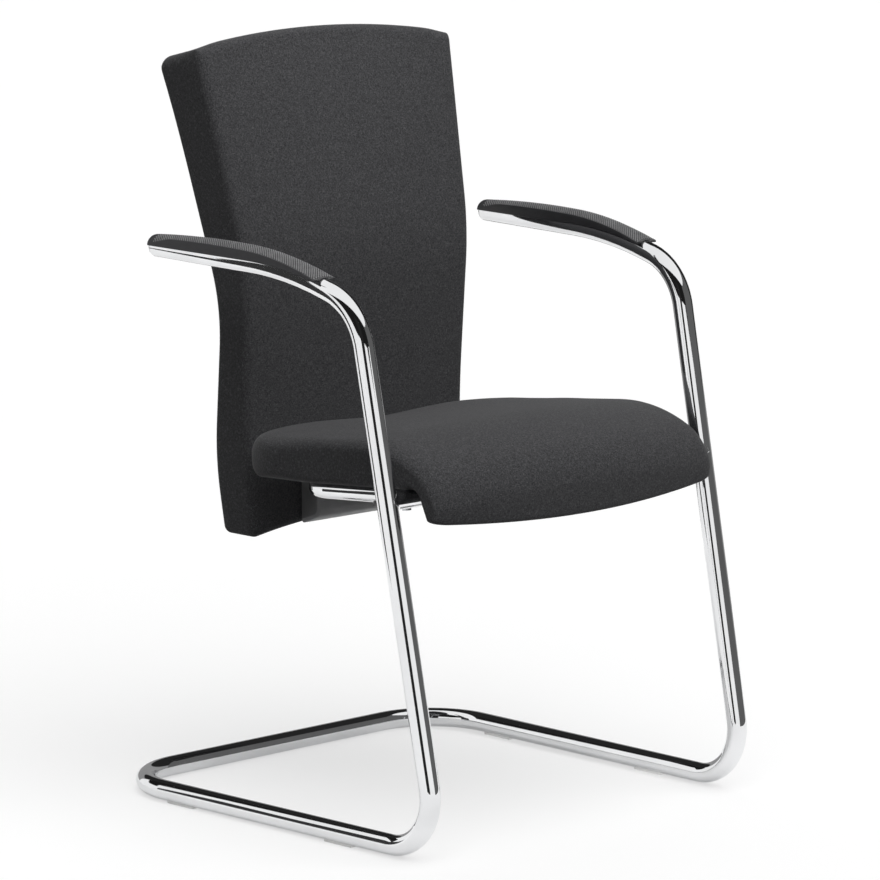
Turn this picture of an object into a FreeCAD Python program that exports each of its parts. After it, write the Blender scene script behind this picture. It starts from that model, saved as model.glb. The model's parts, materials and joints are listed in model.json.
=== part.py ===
import FreeCAD, Part
import math
import os

# Cantilever visitor chair: one bent steel tube carries an upholstered seat and back.
# Millimetres, +Z up, the sitter faces -Y, so the sitter's right side is at -X.
# The origin is on the floor, under the middle of the overall depth and width.

doc = FreeCAD.newDocument("cantilever_chair")
V = FreeCAD.Vector
X_AXIS, Y_AXIS, Z_AXIS = V(1, 0, 0), V(0, 1, 0), V(0, 0, 1)

# Driving dimensions: name, value in millimetres or degrees, meaning
SIZES = [
    ("overall_depth", 582, "front of the foot bends to the back of the rear bar"),
    ("base_rear_width", 560, "between the runner axes at the rear bar"),
    ("base_front_width", 534, "between the runner axes at the foot corners"),
    ("side_splay", 0.44, "outward lean of each side loop"),
    ("tube_od", 25, "frame tube, outside diameter"),
    ("tube_wall", 2.5, "frame tube, wall"),
    ("foot_radius", 65, "bend from runner to leg, on the axis"),
    ("rear_corner_radius", 94, "bend from runner to rear bar, on the axis"),
    ("leg_lean", 11.35, "backward lean of the legs"),
    ("arm_tip_height", 694, "arm axis above the floor at its rear tip"),
    ("arm_reach", 476, "foot corner to arm tip, along the runner"),
    ("arm_rear_slope", 2.1, "slope of the arm's straight rear part"),
    ("arm_front_slope", 17.5, "slope of the arm where it meets the front bend"),
    ("arm_bow_radius", 520, "gentle bow of the arm, on the axis"),
    ("arm_front_run", 2, "straight run between the arm's bow and its front bend"),
    ("arm_bend_radius", 80, "bend from leg to arm, on the axis"),
    ("glide_length", 46, "floor glide, along the runner"),
    ("glide_width", 12, "floor glide, across the runner"),
    ("glide_height", 1.5, "floor glide, below the tube"),
    ("glide_wrap", 3, "floor glide, up the side of the tube"),
    ("glide_front_inset", 85, "front glide's centre behind the foot bend"),
    ("glide_rear_inset", 35, "rear glide's centre ahead of the rear corner bend"),
    ("carrier_od", 22, "cross tube and seat carrier, outside diameter"),
    ("carrier_wall", 2, "cross tube and seat carrier, wall"),
    ("cross_tube_height", 424.5, "cross tube axis above the floor"),
    ("carrier_inset", 26, "seat's side to the axis of the carrier's rail"),
    ("carrier_length", 218, "cross tube axis to the axis of the carrier's rear bar"),
    ("carrier_bend_radius", 60, "rear bends of the carrier, on the axis"),
    ("seat_tilt", 4, "carrier and seat board, down towards the back"),
    ("weld_gap", 0.2, "welded tube ends, clear of the tube they meet"),
    ("seat_width", 480, "upholstered seat, across"),
    ("seat_rear", 316, "seat's rear edge behind the cross tube"),
    ("seat_rear_top", 59, "seat's top at the rear, above the carrier's plane"),
    ("seat_front_top", 66, "seat's top at the brow, above the carrier's plane"),
    ("seat_brow", 86, "start of the waterfall front, behind the cross tube"),
    ("brow_radius", 200, "first arc of the waterfall front"),
    ("nose_radius", 60, "second arc of the waterfall front"),
    ("brow_turn", 30, "slope where the two arcs meet"),
    ("front_bow", 20, "front edge, middle ahead of the sides"),
    ("seat_crown", 8, "seat's top, middle above the sides"),
    ("lobe_drop", 29, "bottom of the front lobe below the carrier's plane"),
    ("lobe_sag", 13, "front lobe, middle below the sides"),
    ("lobe_foot", 16, "front lobe, depth of its bottom edge"),
    ("lobe_slope", 15, "lobe's rear wall, lean towards the cross tube"),
    ("skirt_level", 9, "bottom of the seat's skirt above the carrier's plane"),
    ("seat_corner_radius", 84, "seat's rear corners in plan"),
    ("board_thickness", 12, "seat board"),
    ("board_margin", 12, "seat's side to the board"),
    ("board_front", 14, "board's front edge ahead of the cross tube"),
    ("board_rear_margin", 20, "seat's rear edge to the board"),
    ("cover_sheet", 2.5, "sheet under the seat board"),
    ("fit_gap", 0.3, "clearance of soft and loose fits"),
    ("back_shoulder_width", 438, "back at the top corners"),
    ("back_waist_width", 390, "back at the arms' level"),
    ("back_foot_width", 366, "back at the bottom"),
    ("back_bottom", 326, "bottom corners of the back above the floor"),
    ("back_bottom_arch", 14, "bottom edge, middle above the corners"),
    ("back_waist_height", 660, "start of the back's flare above the floor"),
    ("back_shoulder_height", 932, "top corners of the back above the floor"),
    ("back_arch", 17, "top edge, middle above the corners"),
    ("back_top_fall", 18, "slope of the top edge, down towards the rear"),
    ("back_edge_radius", 11, "rounded edges of the back"),
    ("back_front", 331.7, "front face of the back at its bottom, behind the cross tube"),
    ("back_depth_bottom", 60, "thickness of the back at its bottom"),
    ("front_swell", 6, "front face, forward step of the foot to the lumbar point"),
    ("front_swell_height", 480, "front face, height of the lumbar point"),
    ("front_hollow", -1, "front face at the waist, behind the foot"),
    ("front_hollow_height", 680, "front face, start of the backward lean"),
    ("front_lean", 13.2, "backward lean of the upper front face"),
    ("rear_swell", 14, "rear face, backward step of the foot to the lower bulge"),
    ("rear_swell_height", 420, "rear face, height of the lower bulge"),
    ("rear_hollow", -7, "rear face at the waist, behind the foot"),
    ("rear_hollow_height", 605, "rear face, start of the backward lean"),
    ("rear_lean", 15.1, "backward lean of the upper rear face"),
    ("back_curve_radius", 300, "curves of the back's side outline"),
    ("shell_thickness", 10, "plate inside the back"),
    ("shell_width", 320, "plate inside the back, across"),
    ("shell_bottom", 370, "plate's lower edge above the floor"),
    ("shell_bend_height", 612, "plate's bend above the floor"),
    ("shell_top", 880, "plate's upper edge above the floor"),
    ("shell_lean", 13.5, "backward lean of the plate above its bend"),
    ("bracket_thickness", 5, "steel bracket"),
    ("bracket_width", 120, "steel bracket, across"),
    ("bracket_flange", 74, "bracket's flange under the seat board"),
    ("bracket_bend_radius", 9, "bends of the bracket, on its middle plane"),
    ("bracket_low", 358, "lowest run of the bracket above the floor"),
    ("bracket_upright", 358.2, "bracket's upright, behind the cross tube"),
    ("bracket_top", 500, "bracket's upper edge above the floor"),
    ("housing_width", 206, "bracket cover, across"),
    ("housing_front", 299, "bracket cover's front face, behind the cross tube"),
    ("housing_bottom", 337, "bracket cover's lowest edge, at the back, above the floor"),
    ("housing_slope", 21, "bracket cover's bottom, up towards the front"),
    ("housing_top", 404, "bracket cover's top above the floor"),
    ("housing_wall", 2.5, "bracket cover, wall"),
    ("housing_radius", 6, "bracket cover, rounded edges of its front"),
    ("housing_gap", 1, "bracket cover's open rear, clear of the back"),
    ("screw_diameter", 6, "seat, bracket and back screws, shank"),
    ("screw_head", 11, "screw heads, diameter"),
    ("head_height", 3.5, "screw heads"),
    ("hole_gap", 0.2, "screw holes, radial clearance"),
    ("nut_barrel", 8.5, "tee nuts, barrel diameter"),
    ("nut_flange", 18, "tee nuts, flange diameter"),
    ("nut_plate", 1.5, "tee nuts, flange thickness"),
    ("rail_screw_first", 28, "first pair of rail screws behind the cross tube"),
    ("rail_screw_pitch", 40, "second pair of rail screws behind the first"),
    ("saddle_length", 18, "saddle washer, along the rail"),
    ("saddle_width", 15, "saddle washer, across the rail"),
    ("saddle_height", 3, "saddle washer, below the rail"),
    ("flange_screw_spacing", 80, "bracket screws, across"),
    ("flange_screw_inset", 16, "bracket screws, from the flange's front edge"),
    ("flange_screw_pitch", 32, "bracket screws, along the flange"),
    ("back_screw_spacing", 80, "back screws, across"),
    ("back_screw_inset", 20, "back screws, below the bracket's upper edge"),
    ("back_screw_pitch", 60, "back screws, along the upright"),
    ("housing_screw_spacing", 90, "cover screws, across"),
    ("housing_screw_height", 380, "cover screws above the floor"),
    ("pad_front_width", 34, "arm pad at its front end"),
    ("pad_rear_width", 27, "arm pad at its rear end"),
    ("pad_front_rise", 5.5, "arm pad above the tube at its front end"),
    ("pad_rear_rise", 2, "arm pad above the tube at its rear end"),
    ("pad_middle_width", 30.5, "arm pad where the arm's bow starts"),
    ("pad_middle_rise", 8.5, "arm pad above the tube where the arm's bow starts"),
    ("pad_middle_skirt", 5, "arm pad's lower lips above the tube axis where the arm's bow starts"),
    ("pad_front_skirt", 10, "arm pad's lower lips above the tube axis, front end"),
    ("pad_rear_skirt", 2, "arm pad's lower lips above the tube axis, rear end"),
    ("pad_bevel", 2.5, "arm pad, bevel from top to side"),
    ("pad_front_turn", 14, "arm pad's front end, angle round the arm's bow"),
    ("pad_end_radius", 10, "arm pad, rounded top edge of its rear end"),
    ("pad_overhang", 6, "arm pad past the tube's rear end"),
    ("pad_screw_diameter", 5, "arm pad screws"),
    ("pad_screw_first", 60, "rear arm pad screw, from the arm's tip"),
    ("pad_screw_pitch", 110, "front arm pad screw, ahead of the rear one"),
    ("pad_screw_bite", 1.5, "arm pad screws, into the pad above the tube"),
    ("plug_shank", 18, "arm end plug, inside the tube"),
    ("plug_dome", 8, "arm end plug, domed head"),
]

sheet = doc.addObject("Spreadsheet::Sheet", "sizes")
for row, (alias, value, meaning) in enumerate(SIZES, start=1):
    sheet.set("A%d" % row, meaning)
    sheet.set("B%d" % row, str(value))
    sheet.setAlias("B%d" % row, alias)
doc.recompute()


def size(alias):
    """The number in the sheet's cell of that name."""
    return float(sheet.get(alias))


def slope(alias):
    """The tangent of an angle in the sheet, given in degrees."""
    return math.tan(math.radians(size(alias)))


def bind(feature, **expressions):
    """Tie properties of a feature to expressions on the sheet's names."""
    for name, expression in expressions.items():
        feature.setExpression(name, expression)
    return feature


# Building helpers

SUB_PARTS = []


def sub_part(feature, label, placement=None):
    """Give a finished feature its label and place, and list it for export."""
    feature.Label = label
    if placement is not None:
        feature.Placement = placement
    SUB_PARTS.append(feature)
    return feature


def cylinder(name, radius, length, base, direction):
    """A cylinder whose radius and height are expressions, from base along direction."""
    feature = bind(doc.addObject("Part::Cylinder", name), Radius=radius, Height=length)
    feature.Placement = FreeCAD.Placement(base, FreeCAD.Rotation(Z_AXIS, direction))
    return feature


def box(name, length, width, height, corner, rotation=FreeCAD.Rotation()):
    """A box whose three sides are expressions, from its least corner."""
    feature = bind(doc.addObject("Part::Box", name), Length=length, Width=width, Height=height)
    feature.Placement = FreeCAD.Placement(corner, rotation)
    return feature


def cut(name, base, tool):
    feature = doc.addObject("Part::Cut", name)
    feature.Base = base
    feature.Tool = tool
    return feature


def common(name, base, tool):
    feature = doc.addObject("Part::Common", name)
    feature.Base = base
    feature.Tool = tool
    return feature


def group(name, features):
    """Several solids as one feature: fused where they meet, side by side where they don't."""
    feature = doc.addObject("Part::MultiFuse", name)
    feature.Shapes = features
    return feature


def shaped(name, shape):
    """A feature that holds a wire, face or solid made from the sheet's numbers."""
    feature = doc.addObject("Part::Feature", name)
    feature.Shape = shape
    return feature


def rounded_edges(points, radii, closed=False):
    """Straight runs joined by tangent arcs: one radius for each inner point, 0 for a corner."""
    count = len(points)
    inner = range(count) if closed else range(1, count - 1)
    turns = {}
    for index, radius in zip(inner, radii):
        here = points[index]
        back = (points[index - 1] - here).normalize()
        ahead = (points[(index + 1) % count] - here).normalize()
        half = back.getAngle(ahead) / 2
        reach = radius / math.tan(half)
        middle = here + (back + ahead).normalize() * (radius / math.sin(half) - radius)
        turns[index] = (here + back * reach, middle, here + ahead * reach, radius)
    edges = []
    last = turns[0][2] if closed else points[0]
    order = list(range(1, count)) + ([0] if closed else [])
    for index in order:
        if index in turns:
            start, middle, end, radius = turns[index]
        else:
            start = end = points[index]
            radius = 0
        if last.distanceToPoint(start) > 1e-6:
            edges.append(Part.LineSegment(last, start).toShape())
        if radius > 0:
            edges.append(Part.Arc(start, middle, end).toShape())
        last = end
    return edges


def swept(name, path, profiles):
    """A solid that carries one or more profiles along a path."""
    feature = doc.addObject("Part::Sweep", name)
    feature.Sections = profiles
    feature.Spine = (path, ["Edge%d" % (n + 1) for n in range(len(path.Shape.Edges))])
    feature.Solid = True
    return feature


def rod(name, path, radius):
    """A round bar along a path, with its radius as an expression."""
    first = path.Shape.Edges[0]
    profile = bind(doc.addObject("Part::Circle", name + "_profile"), Radius=radius)
    profile.Placement = FreeCAD.Placement(
        first.valueAt(first.FirstParameter),
        FreeCAD.Rotation(Z_AXIS, first.tangentAt(first.FirstParameter)),
    )
    return swept(name, path, [profile])


def strip(name, path, width, thickness):
    """A flat bar along a path in the YZ plane, as wide across X as its width expression."""
    first = path.Shape.Edges[0]
    ahead = first.tangentAt(first.FirstParameter)
    turn = FreeCAD.Rotation(X_AXIS, ahead.cross(X_AXIS), ahead, "ZXY")
    profile = bind(doc.addObject("Part::Plane", name + "_profile"), Length=width, Width=thickness)
    doc.recompute()
    offset = turn.multVec(V(profile.Length.Value / 2, profile.Width.Value / 2, 0))
    start = first.valueAt(first.FirstParameter)
    profile.Placement = FreeCAD.Placement(start - offset, turn)
    return swept(name, path, [profile])


def screw(name, seat, direction, length):
    """A button-headed screw: its head stands before the seat, its shank runs along direction."""
    head = cylinder(name + "_head", "sizes.screw_head / 2", "sizes.head_height",
                    seat - direction * size("head_height"), direction)
    shank = cylinder(name + "_shank", "sizes.screw_diameter / 2", length, seat, direction)
    return group(name, [head, shank])


def tee_nut(name, face, direction, barrel):
    """A tee nut let into a plate: flange flush with the face, barrel along direction, threaded bore."""
    flange = cylinder(name + "_flange", "sizes.nut_flange / 2", "sizes.nut_plate", face, direction)
    sleeve = cylinder(name + "_sleeve", "sizes.nut_barrel / 2", barrel, face, direction)
    solid = group(name + "_solid", [flange, sleeve])
    bore = cylinder(name + "_bore", "sizes.screw_diameter / 2 + sizes.hole_gap / 2",
                    "sizes.board_thickness * 3", face - direction * size("board_thickness"), direction)
    return cut(name, solid, bore)


def nut_pocket(name, face, direction):
    """The stepped hole that a tee nut sits in."""
    flange = cylinder(name + "_flange", "sizes.nut_flange / 2 + sizes.hole_gap",
                      "sizes.nut_plate", face, direction)
    sleeve = cylinder(name + "_sleeve", "sizes.nut_barrel / 2 + sizes.hole_gap",
                      "sizes.board_thickness * 2", face, direction)
    return group(name, [flange, sleeve])


def clearance_hole(name, middle, direction):
    """A through hole for a screw, long enough for any wall at its middle point."""
    return cylinder(name, "sizes.screw_diameter / 2 + sizes.hole_gap", "sizes.carrier_od * 2",
                    middle - direction * size("carrier_od"), direction)


# Frame tube: both side loops and the rear bar, bent from one length

SIDES = {"right": -1, "left": 1}
axis_height = size("glide_height") + size("tube_od") / 2
foot_reach = size("foot_radius") * math.tan(math.radians(90 + size("leg_lean")) / 2)
foot_corner_y = -size("overall_depth") / 2 + size("tube_od") / 2 + size("foot_radius") - foot_reach
rear_bar_y = size("overall_depth") / 2 - size("tube_od") / 2
bow_turn = math.radians(size("arm_front_slope") - size("arm_rear_slope"))
bend_turn = math.radians(90 - size("leg_lean") - size("arm_front_slope"))
bow_tangent = size("arm_bow_radius") * math.tan(bow_turn / 2)
bend_tangent = size("arm_bend_radius") * math.tan(bend_turn / 2)


class SideLoop:
    """The plane of one side loop, with points given as reach along the runner and rise."""

    def __init__(self, sign):
        self.foot = V(sign * size("base_front_width") / 2, foot_corner_y, axis_height)
        self.rear = V(sign * size("base_rear_width") / 2, rear_bar_y, axis_height)
        self.back = (self.rear - self.foot).normalize()
        outward = V(self.back.y, -self.back.x, 0) * sign
        splay = math.radians(size("side_splay"))
        self.up = Z_AXIS * math.cos(splay) + outward * math.sin(splay)
        self.outward = outward * math.cos(splay) - Z_AXIS * math.sin(splay)

        # The bow's corner lies on the arm's rear line, one run of fixed length behind the front bend's
        front = math.radians(size("arm_front_slope"))
        run = bow_tangent + bend_tangent + size("arm_front_run")
        tip_rise = (size("arm_tip_height") - axis_height) / math.cos(splay)
        tip_base = tip_rise - size("arm_reach") * slope("arm_rear_slope")
        bow_reach = (slope("leg_lean") * (tip_base - run * math.sin(front)) + run * math.cos(front)) / (
            1 - slope("leg_lean") * slope("arm_rear_slope"))
        bow_rise = tip_base + bow_reach * slope("arm_rear_slope")
        self.tip = self.at(size("arm_reach"), tip_rise)
        self.bow = self.at(bow_reach, bow_rise)
        self.bend = self.at(bow_reach - run * math.cos(front), bow_rise - run * math.sin(front))
        self.leg = (self.bend - self.foot).normalize()
        self.arm = (self.bow - self.tip).normalize()
        self.arm_up = self.outward.cross(self.arm) * -sign
        self.bow_start = self.bow - self.arm * bow_tangent

    def at(self, reach, rise):
        return self.foot + self.back * reach + self.up * rise

    def on_leg(self, height):
        """The point of the leg's axis at a height above the floor."""
        return self.foot + self.leg * ((height - self.foot.z) / self.leg.z)

    def bow_up(self, angle):
        """The direction square to the arm's bow, by its angle in degrees from the bow's rear end."""
        swing = math.radians(angle)
        return self.arm_up * math.cos(swing) + self.arm * math.sin(swing)

    def on_bow(self, angle):
        """The point of the arm's bow at that angle."""
        return self.bow_start + (self.bow_up(angle) - self.arm_up) * size("arm_bow_radius")

    def arm_wire(self, start, front_turn):
        """The arm's axis from a point of its straight part to an angle round its bow."""
        return Part.Wire([
            Part.LineSegment(start, self.bow_start).toShape(),
            Part.Arc(self.bow_start, self.on_bow(front_turn / 2), self.on_bow(front_turn)).toShape(),
        ])

    def pad_screw_points(self):
        """Where the arm pad screws cross the arm's axis."""
        first = size("pad_screw_first")
        return [self.tip + self.arm * (first + step * size("pad_screw_pitch")) for step in range(2)]


loops = {side: SideLoop(sign) for side, sign in SIDES.items()}
right, left = loops["right"], loops["left"]
frame_path = shaped("frame_path", Part.Wire(rounded_edges(
    [right.tip, right.bow, right.bend, right.foot, right.rear,
     left.rear, left.foot, left.bend, left.bow, left.tip],
    [size("arm_bow_radius"), size("arm_bend_radius"), size("foot_radius"), size("rear_corner_radius"),
     size("rear_corner_radius"), size("foot_radius"), size("arm_bend_radius"), size("arm_bow_radius")],
)))
frame_bar = rod("frame_bar", frame_path, "sizes.tube_od / 2")
frame_bore = rod("frame_bore", frame_path, "sizes.tube_od / 2 - sizes.tube_wall")
frame_hollow = cut("frame_hollow", frame_bar, frame_bore)


pad_holes = []
for side, loop in loops.items():
    for number, point in enumerate(loop.pad_screw_points()):
        pad_holes.append(cylinder("%s_pad_hole_%d" % (side, number),
                                  "sizes.pad_screw_diameter / 2 + sizes.hole_gap", "sizes.tube_od * 2",
                                  point - loop.arm_up * size("tube_od"), loop.arm_up))
sub_part(cut("frame", frame_hollow, group("pad_holes", pad_holes)), "frame_tube")

# Arm pads: saddles over the arm tubes, wider and flatter towards the front


def pad_section(name, loop, origin, upward, end):
    """The pad's outer section at one place: flat top, bevelled shoulders, straight sides."""
    half = size("pad_%s_width" % end) / 2
    skirt = size("pad_%s_skirt" % end)
    top = size("tube_od") / 2 + size("pad_%s_rise" % end)
    bevel = size("pad_bevel")
    outline = [(-half, skirt), (-half, top - bevel), (-half + bevel, top),
               (half - bevel, top), (half, top - bevel), (half, skirt)]
    points = [origin + loop.outward * across + upward * height for across, height in outline]
    return shaped(name, Part.makePolygon(points + points[:1]))


def pad_end_tool(name, loop, rear_end):
    """What is cut off the pad's rear end to round its top edge over."""
    across = loop.arm_up.cross(loop.arm)
    shoulder = rear_end + loop.arm_up * (size("tube_od") / 2 + size("pad_rear_rise") - size("pad_end_radius"))
    turn = FreeCAD.Rotation(loop.arm, across, loop.arm_up, "ZXY")
    offset = across * (size("pad_front_width") / 2) + loop.arm * size("pad_end_radius")
    block = box(name + "_block", "sizes.pad_end_radius * 2", "sizes.pad_front_width",
                "sizes.pad_end_radius * 2", shoulder - offset, turn)
    drum = cylinder(name + "_drum", "sizes.pad_end_radius", "sizes.pad_front_width * 2",
                    shoulder + loop.arm * size("pad_end_radius") - across * size("pad_front_width"), across)
    return cut(name, block, drum)


pad_screws = []
for side, loop in loops.items():
    rear_end = loop.tip - loop.arm * size("pad_overhang")
    front_turn = size("pad_front_turn")
    pad_path = shaped(side + "_pad_path", loop.arm_wire(rear_end, front_turn))
    sections = [
        pad_section(side + "_pad_rear", loop, rear_end, loop.arm_up, "rear"),
        pad_section(side + "_pad_middle", loop, loop.bow_start, loop.arm_up, "middle"),
        pad_section(side + "_pad_front", loop, loop.on_bow(front_turn), loop.bow_up(front_turn), "front"),
    ]
    pad_block = swept(side + "_pad_block", pad_path, sections)
    bed_start = rear_end - loop.arm * size("tube_od")
    bed_path = shaped(side + "_bed_path", loop.arm_wire(bed_start, front_turn * 1.2))
    pad_tools = [rod(side + "_arm_bed", bed_path, "sizes.tube_od / 2 + sizes.fit_gap"),
                 pad_end_tool(side + "_pad_end", loop, rear_end)]
    for number, point in enumerate(loop.pad_screw_points()):
        head = point - loop.arm_up * (size("tube_od") / 2)
        name = "%s_pad_screw_%d" % (side, number)
        pad_screws.append(cylinder(name, "sizes.pad_screw_diameter / 2",
                                   "sizes.tube_od + sizes.pad_screw_bite", head, loop.arm_up))
        pad_tools.append(cylinder(name + "_bite", "sizes.pad_screw_diameter / 2 + sizes.hole_gap / 2",
                                  "sizes.tube_od + sizes.pad_screw_bite + sizes.hole_gap", head, loop.arm_up))
    sub_part(cut(side + "_pad", pad_block, group(side + "_pad_tools", pad_tools)), side + "_arm_pad")

    # Plug in the arm's open rear end: a shank in the bore under a domed head
    rim = size("tube_od") / 2
    dome_radius = (rim ** 2 + size("plug_dome") ** 2) / (2 * size("plug_dome"))
    dome = bind(doc.addObject("Part::Sphere", side + "_plug_dome"),
                Radius="((sizes.tube_od / 2) ^ 2 + sizes.plug_dome ^ 2) / (2 * sizes.plug_dome)",
                Angle1="%f" % math.degrees(math.asin(1 - size("plug_dome") / dome_radius)))
    dome.Placement = FreeCAD.Placement(Z_AXIS * (size("plug_dome") - dome_radius), FreeCAD.Rotation())
    shank = cylinder(side + "_plug_shank", "sizes.tube_od / 2 - sizes.tube_wall - sizes.hole_gap",
                     "sizes.plug_shank", Z_AXIS * -size("plug_shank"), Z_AXIS)
    sub_part(group(side + "_plug", [dome, shank]), side + "_arm_end_plug",
             FreeCAD.Placement(loop.tip, FreeCAD.Rotation(Z_AXIS, loop.arm * -1)))

sub_part(group("pad_screws", pad_screws), "arm_pad_screws")

# Floor glides: short clips under both runners, near the bends

for side, loop in loops.items():
    runner_length = (loop.rear - loop.foot).Length
    spots = {"front": foot_reach + size("glide_front_inset"),
             "rear": runner_length - size("rear_corner_radius") - size("glide_rear_inset")}
    heading = FreeCAD.Rotation(Y_AXIS, loop.back)
    for place, reach in spots.items():
        name = "%s_%s_glide" % (place, side)
        middle = loop.foot + loop.back * reach
        corner = heading.multVec(V(-size("glide_width") / 2, -size("glide_length") / 2, 0))
        block = box(name + "_block", "sizes.glide_width", "sizes.glide_length",
                    "sizes.glide_height + sizes.glide_wrap",
                    V(middle.x, middle.y, 0) + corner, heading)
        bed = cylinder(name + "_bed", "sizes.tube_od / 2 + sizes.weld_gap", "sizes.glide_length * 2",
                       middle - loop.back * size("glide_length"), loop.back)
        sub_part(cut(name, block, bed), name)

# Cross tube between the legs, its ends shaped to the leg tubes

cross = {side: loop.on_leg(size("cross_tube_height")) for side, loop in loops.items()}
cross_y = cross["right"].y
leg_tools = []
for side, loop in loops.items():
    leg_tools.append(cylinder(side + "_leg_tool", "sizes.tube_od / 2 + sizes.weld_gap",
                              "sizes.carrier_od * 4",
                              cross[side] - loop.leg * size("carrier_od") * 2, loop.leg))
cross_length = (cross["left"] - cross["right"]).Length
cross_bar = cylinder("cross_bar", "sizes.carrier_od / 2", "%f" % cross_length, cross["right"], X_AXIS)
cross_bore = cylinder("cross_bore", "sizes.carrier_od / 2 - sizes.carrier_wall", "%f" % cross_length,
                      cross["right"], X_AXIS)
cross_hollow = cut("cross_hollow", cross_bar, cross_bore)
sub_part(cut("cross_tube", cross_hollow, group("leg_tools", leg_tools)), "front_cross_tube")

# The seat's own frame: origin on the cross tube's axis, y back along the carrier, z square to it

seat_place = FreeCAD.Placement(V(0, cross_y, size("cross_tube_height")),
                               FreeCAD.Rotation(X_AXIS, -size("seat_tilt")))
rail_x = size("seat_width") / 2 - size("carrier_inset")
sheet_level = size("carrier_od") / 2 + size("weld_gap")
board_level = sheet_level + size("cover_sheet")
board_top = board_level + size("board_thickness")
rail_screws = [V(sign * rail_x, size("rail_screw_first") + step * size("rail_screw_pitch"), 0)
               for sign in SIDES.values() for step in range(2)]

# Seat carrier: a U of tube behind the cross tube

carrier_path = shaped("carrier_path", Part.Wire(rounded_edges(
    [V(-rail_x, 0, 0), V(-rail_x, size("carrier_length"), 0),
     V(rail_x, size("carrier_length"), 0), V(rail_x, 0, 0)],
    [size("carrier_bend_radius")] * 2,
)))
carrier_bar = rod("carrier_bar", carrier_path, "sizes.carrier_od / 2")
carrier_bore = rod("carrier_bore", carrier_path, "sizes.carrier_od / 2 - sizes.carrier_wall")
carrier_tools = [cylinder("carrier_end", "sizes.carrier_od / 2 + sizes.weld_gap", "sizes.seat_width",
                          V(-size("seat_width") / 2, 0, 0), X_AXIS)]
for number, point in enumerate(rail_screws):
    carrier_tools.append(clearance_hole("rail_hole_%d" % number, point, Z_AXIS))
sub_part(cut("carrier", cut("carrier_hollow", carrier_bar, carrier_bore),
             group("carrier_tools", carrier_tools)), "seat_carrier", seat_place)

# Back bracket path, in the part's frame: flange under the seat board, down, back, and up in the back

bracket_half = size("bracket_thickness") / 2
housing_y = cross_y + size("housing_front")
leg_y = housing_y + size("housing_wall") + size("fit_gap") + bracket_half
flange_level = sheet_level - bracket_half


def on_flange(y):
    """The point of the flange's middle plane at a distance behind the origin."""
    start = seat_place.multVec(V(0, 0, flange_level))
    along = seat_place.Rotation.multVec(Y_AXIS)
    return start + along * ((y - start.y) / along.y)


bracket_knee = on_flange(leg_y)
bracket_front = bracket_knee - seat_place.Rotation.multVec(Y_AXIS) * size("bracket_flange")
flange_reach = seat_place.inverse().multVec(bracket_front).y
flange_screws = [V(across * size("flange_screw_spacing") / 2,
                   flange_reach + size("flange_screw_inset") + step * size("flange_screw_pitch"), 0)
                 for across in (-1, 1) for step in range(2)]
board_screws = rail_screws + flange_screws

# Seat board with its tee nuts, and the sheet under it

board_half = size("seat_width") / 2 - size("board_margin")
board_rear = size("seat_rear") - size("board_rear_margin")


def plan(half, front, rear, rear_radius, level):
    """A flat outline in the seat's frame with rounded rear corners and eased front ones."""
    points = [V(-half, front, level), V(half, front, level), V(half, rear, level), V(-half, rear, level)]
    ease = size("board_margin")
    return Part.Face(Part.Wire(rounded_edges(points, [ease, ease, rear_radius, rear_radius], closed=True)))


corner = size("seat_corner_radius") - size("board_margin")
board_blank = shaped("board_blank", plan(board_half, -size("board_front"), board_rear, corner, board_level)
                     .extrude(Z_AXIS * size("board_thickness")))
pockets = [nut_pocket("board_pocket_%d" % n, V(p.x, p.y, board_top), Z_AXIS * -1)
           for n, p in enumerate(board_screws)]
sub_part(cut("board", board_blank, group("board_pockets", pockets)), "seat_board", seat_place)

sheet_trim = size("fit_gap")
sheet_blank = shaped("sheet_blank", plan(board_half - sheet_trim, -size("board_front") + sheet_trim,
                                         board_rear - sheet_trim, corner, sheet_level)
                     .extrude(Z_AXIS * size("cover_sheet")))
sheet_holes = [clearance_hole("sheet_hole_%d" % n, p, Z_AXIS) for n, p in enumerate(board_screws)]
sub_part(cut("under_sheet", sheet_blank, group("sheet_holes", sheet_holes)),
         "seat_underside_cover", seat_place)

nut_barrel_length = "sizes.board_thickness - sizes.fit_gap"


def nuts(name, places):
    """Tee nuts flush with the board's top at each place."""
    return group(name, [tee_nut("%s_%d" % (name, n), V(p.x, p.y, board_top), Z_AXIS * -1, nut_barrel_length)
                        for n, p in enumerate(places)])


sub_part(nuts("rail_nuts", rail_screws), "seat_tee_nuts", seat_place)
sub_part(nuts("flange_nuts", flange_screws), "bracket_tee_nuts", seat_place)

# Rail screws with saddle washers below the rails, and bracket screws below the flange

washers = []
long_screws = []
washer_level = -size("carrier_od") / 2 - size("saddle_height")
for number, point in enumerate(rail_screws):
    name = "saddle_%d" % number
    block = box(name + "_block", "sizes.saddle_width", "sizes.saddle_length",
                "sizes.saddle_height + sizes.carrier_od / 4",
                V(point.x - size("saddle_width") / 2, point.y - size("saddle_length") / 2, washer_level))
    bed = cylinder(name + "_bed", "sizes.carrier_od / 2 + sizes.weld_gap", "sizes.saddle_length * 2",
                   V(point.x, point.y - size("saddle_length"), 0), Y_AXIS)
    hole = clearance_hole(name + "_hole", V(point.x, point.y, washer_level), Z_AXIS)
    washers.append(cut(name, block, group(name + "_tools", [bed, hole])))
    long_screws.append(screw("rail_screw_%d" % number, V(point.x, point.y, washer_level), Z_AXIS,
                             "sizes.saddle_height + sizes.carrier_od + sizes.weld_gap"
                             " + sizes.cover_sheet + sizes.board_thickness - sizes.nut_plate"))
sub_part(group("saddles", washers), "seat_saddle_washers", seat_place)
sub_part(group("rail_screw_set", long_screws), "seat_screws", seat_place)

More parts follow.
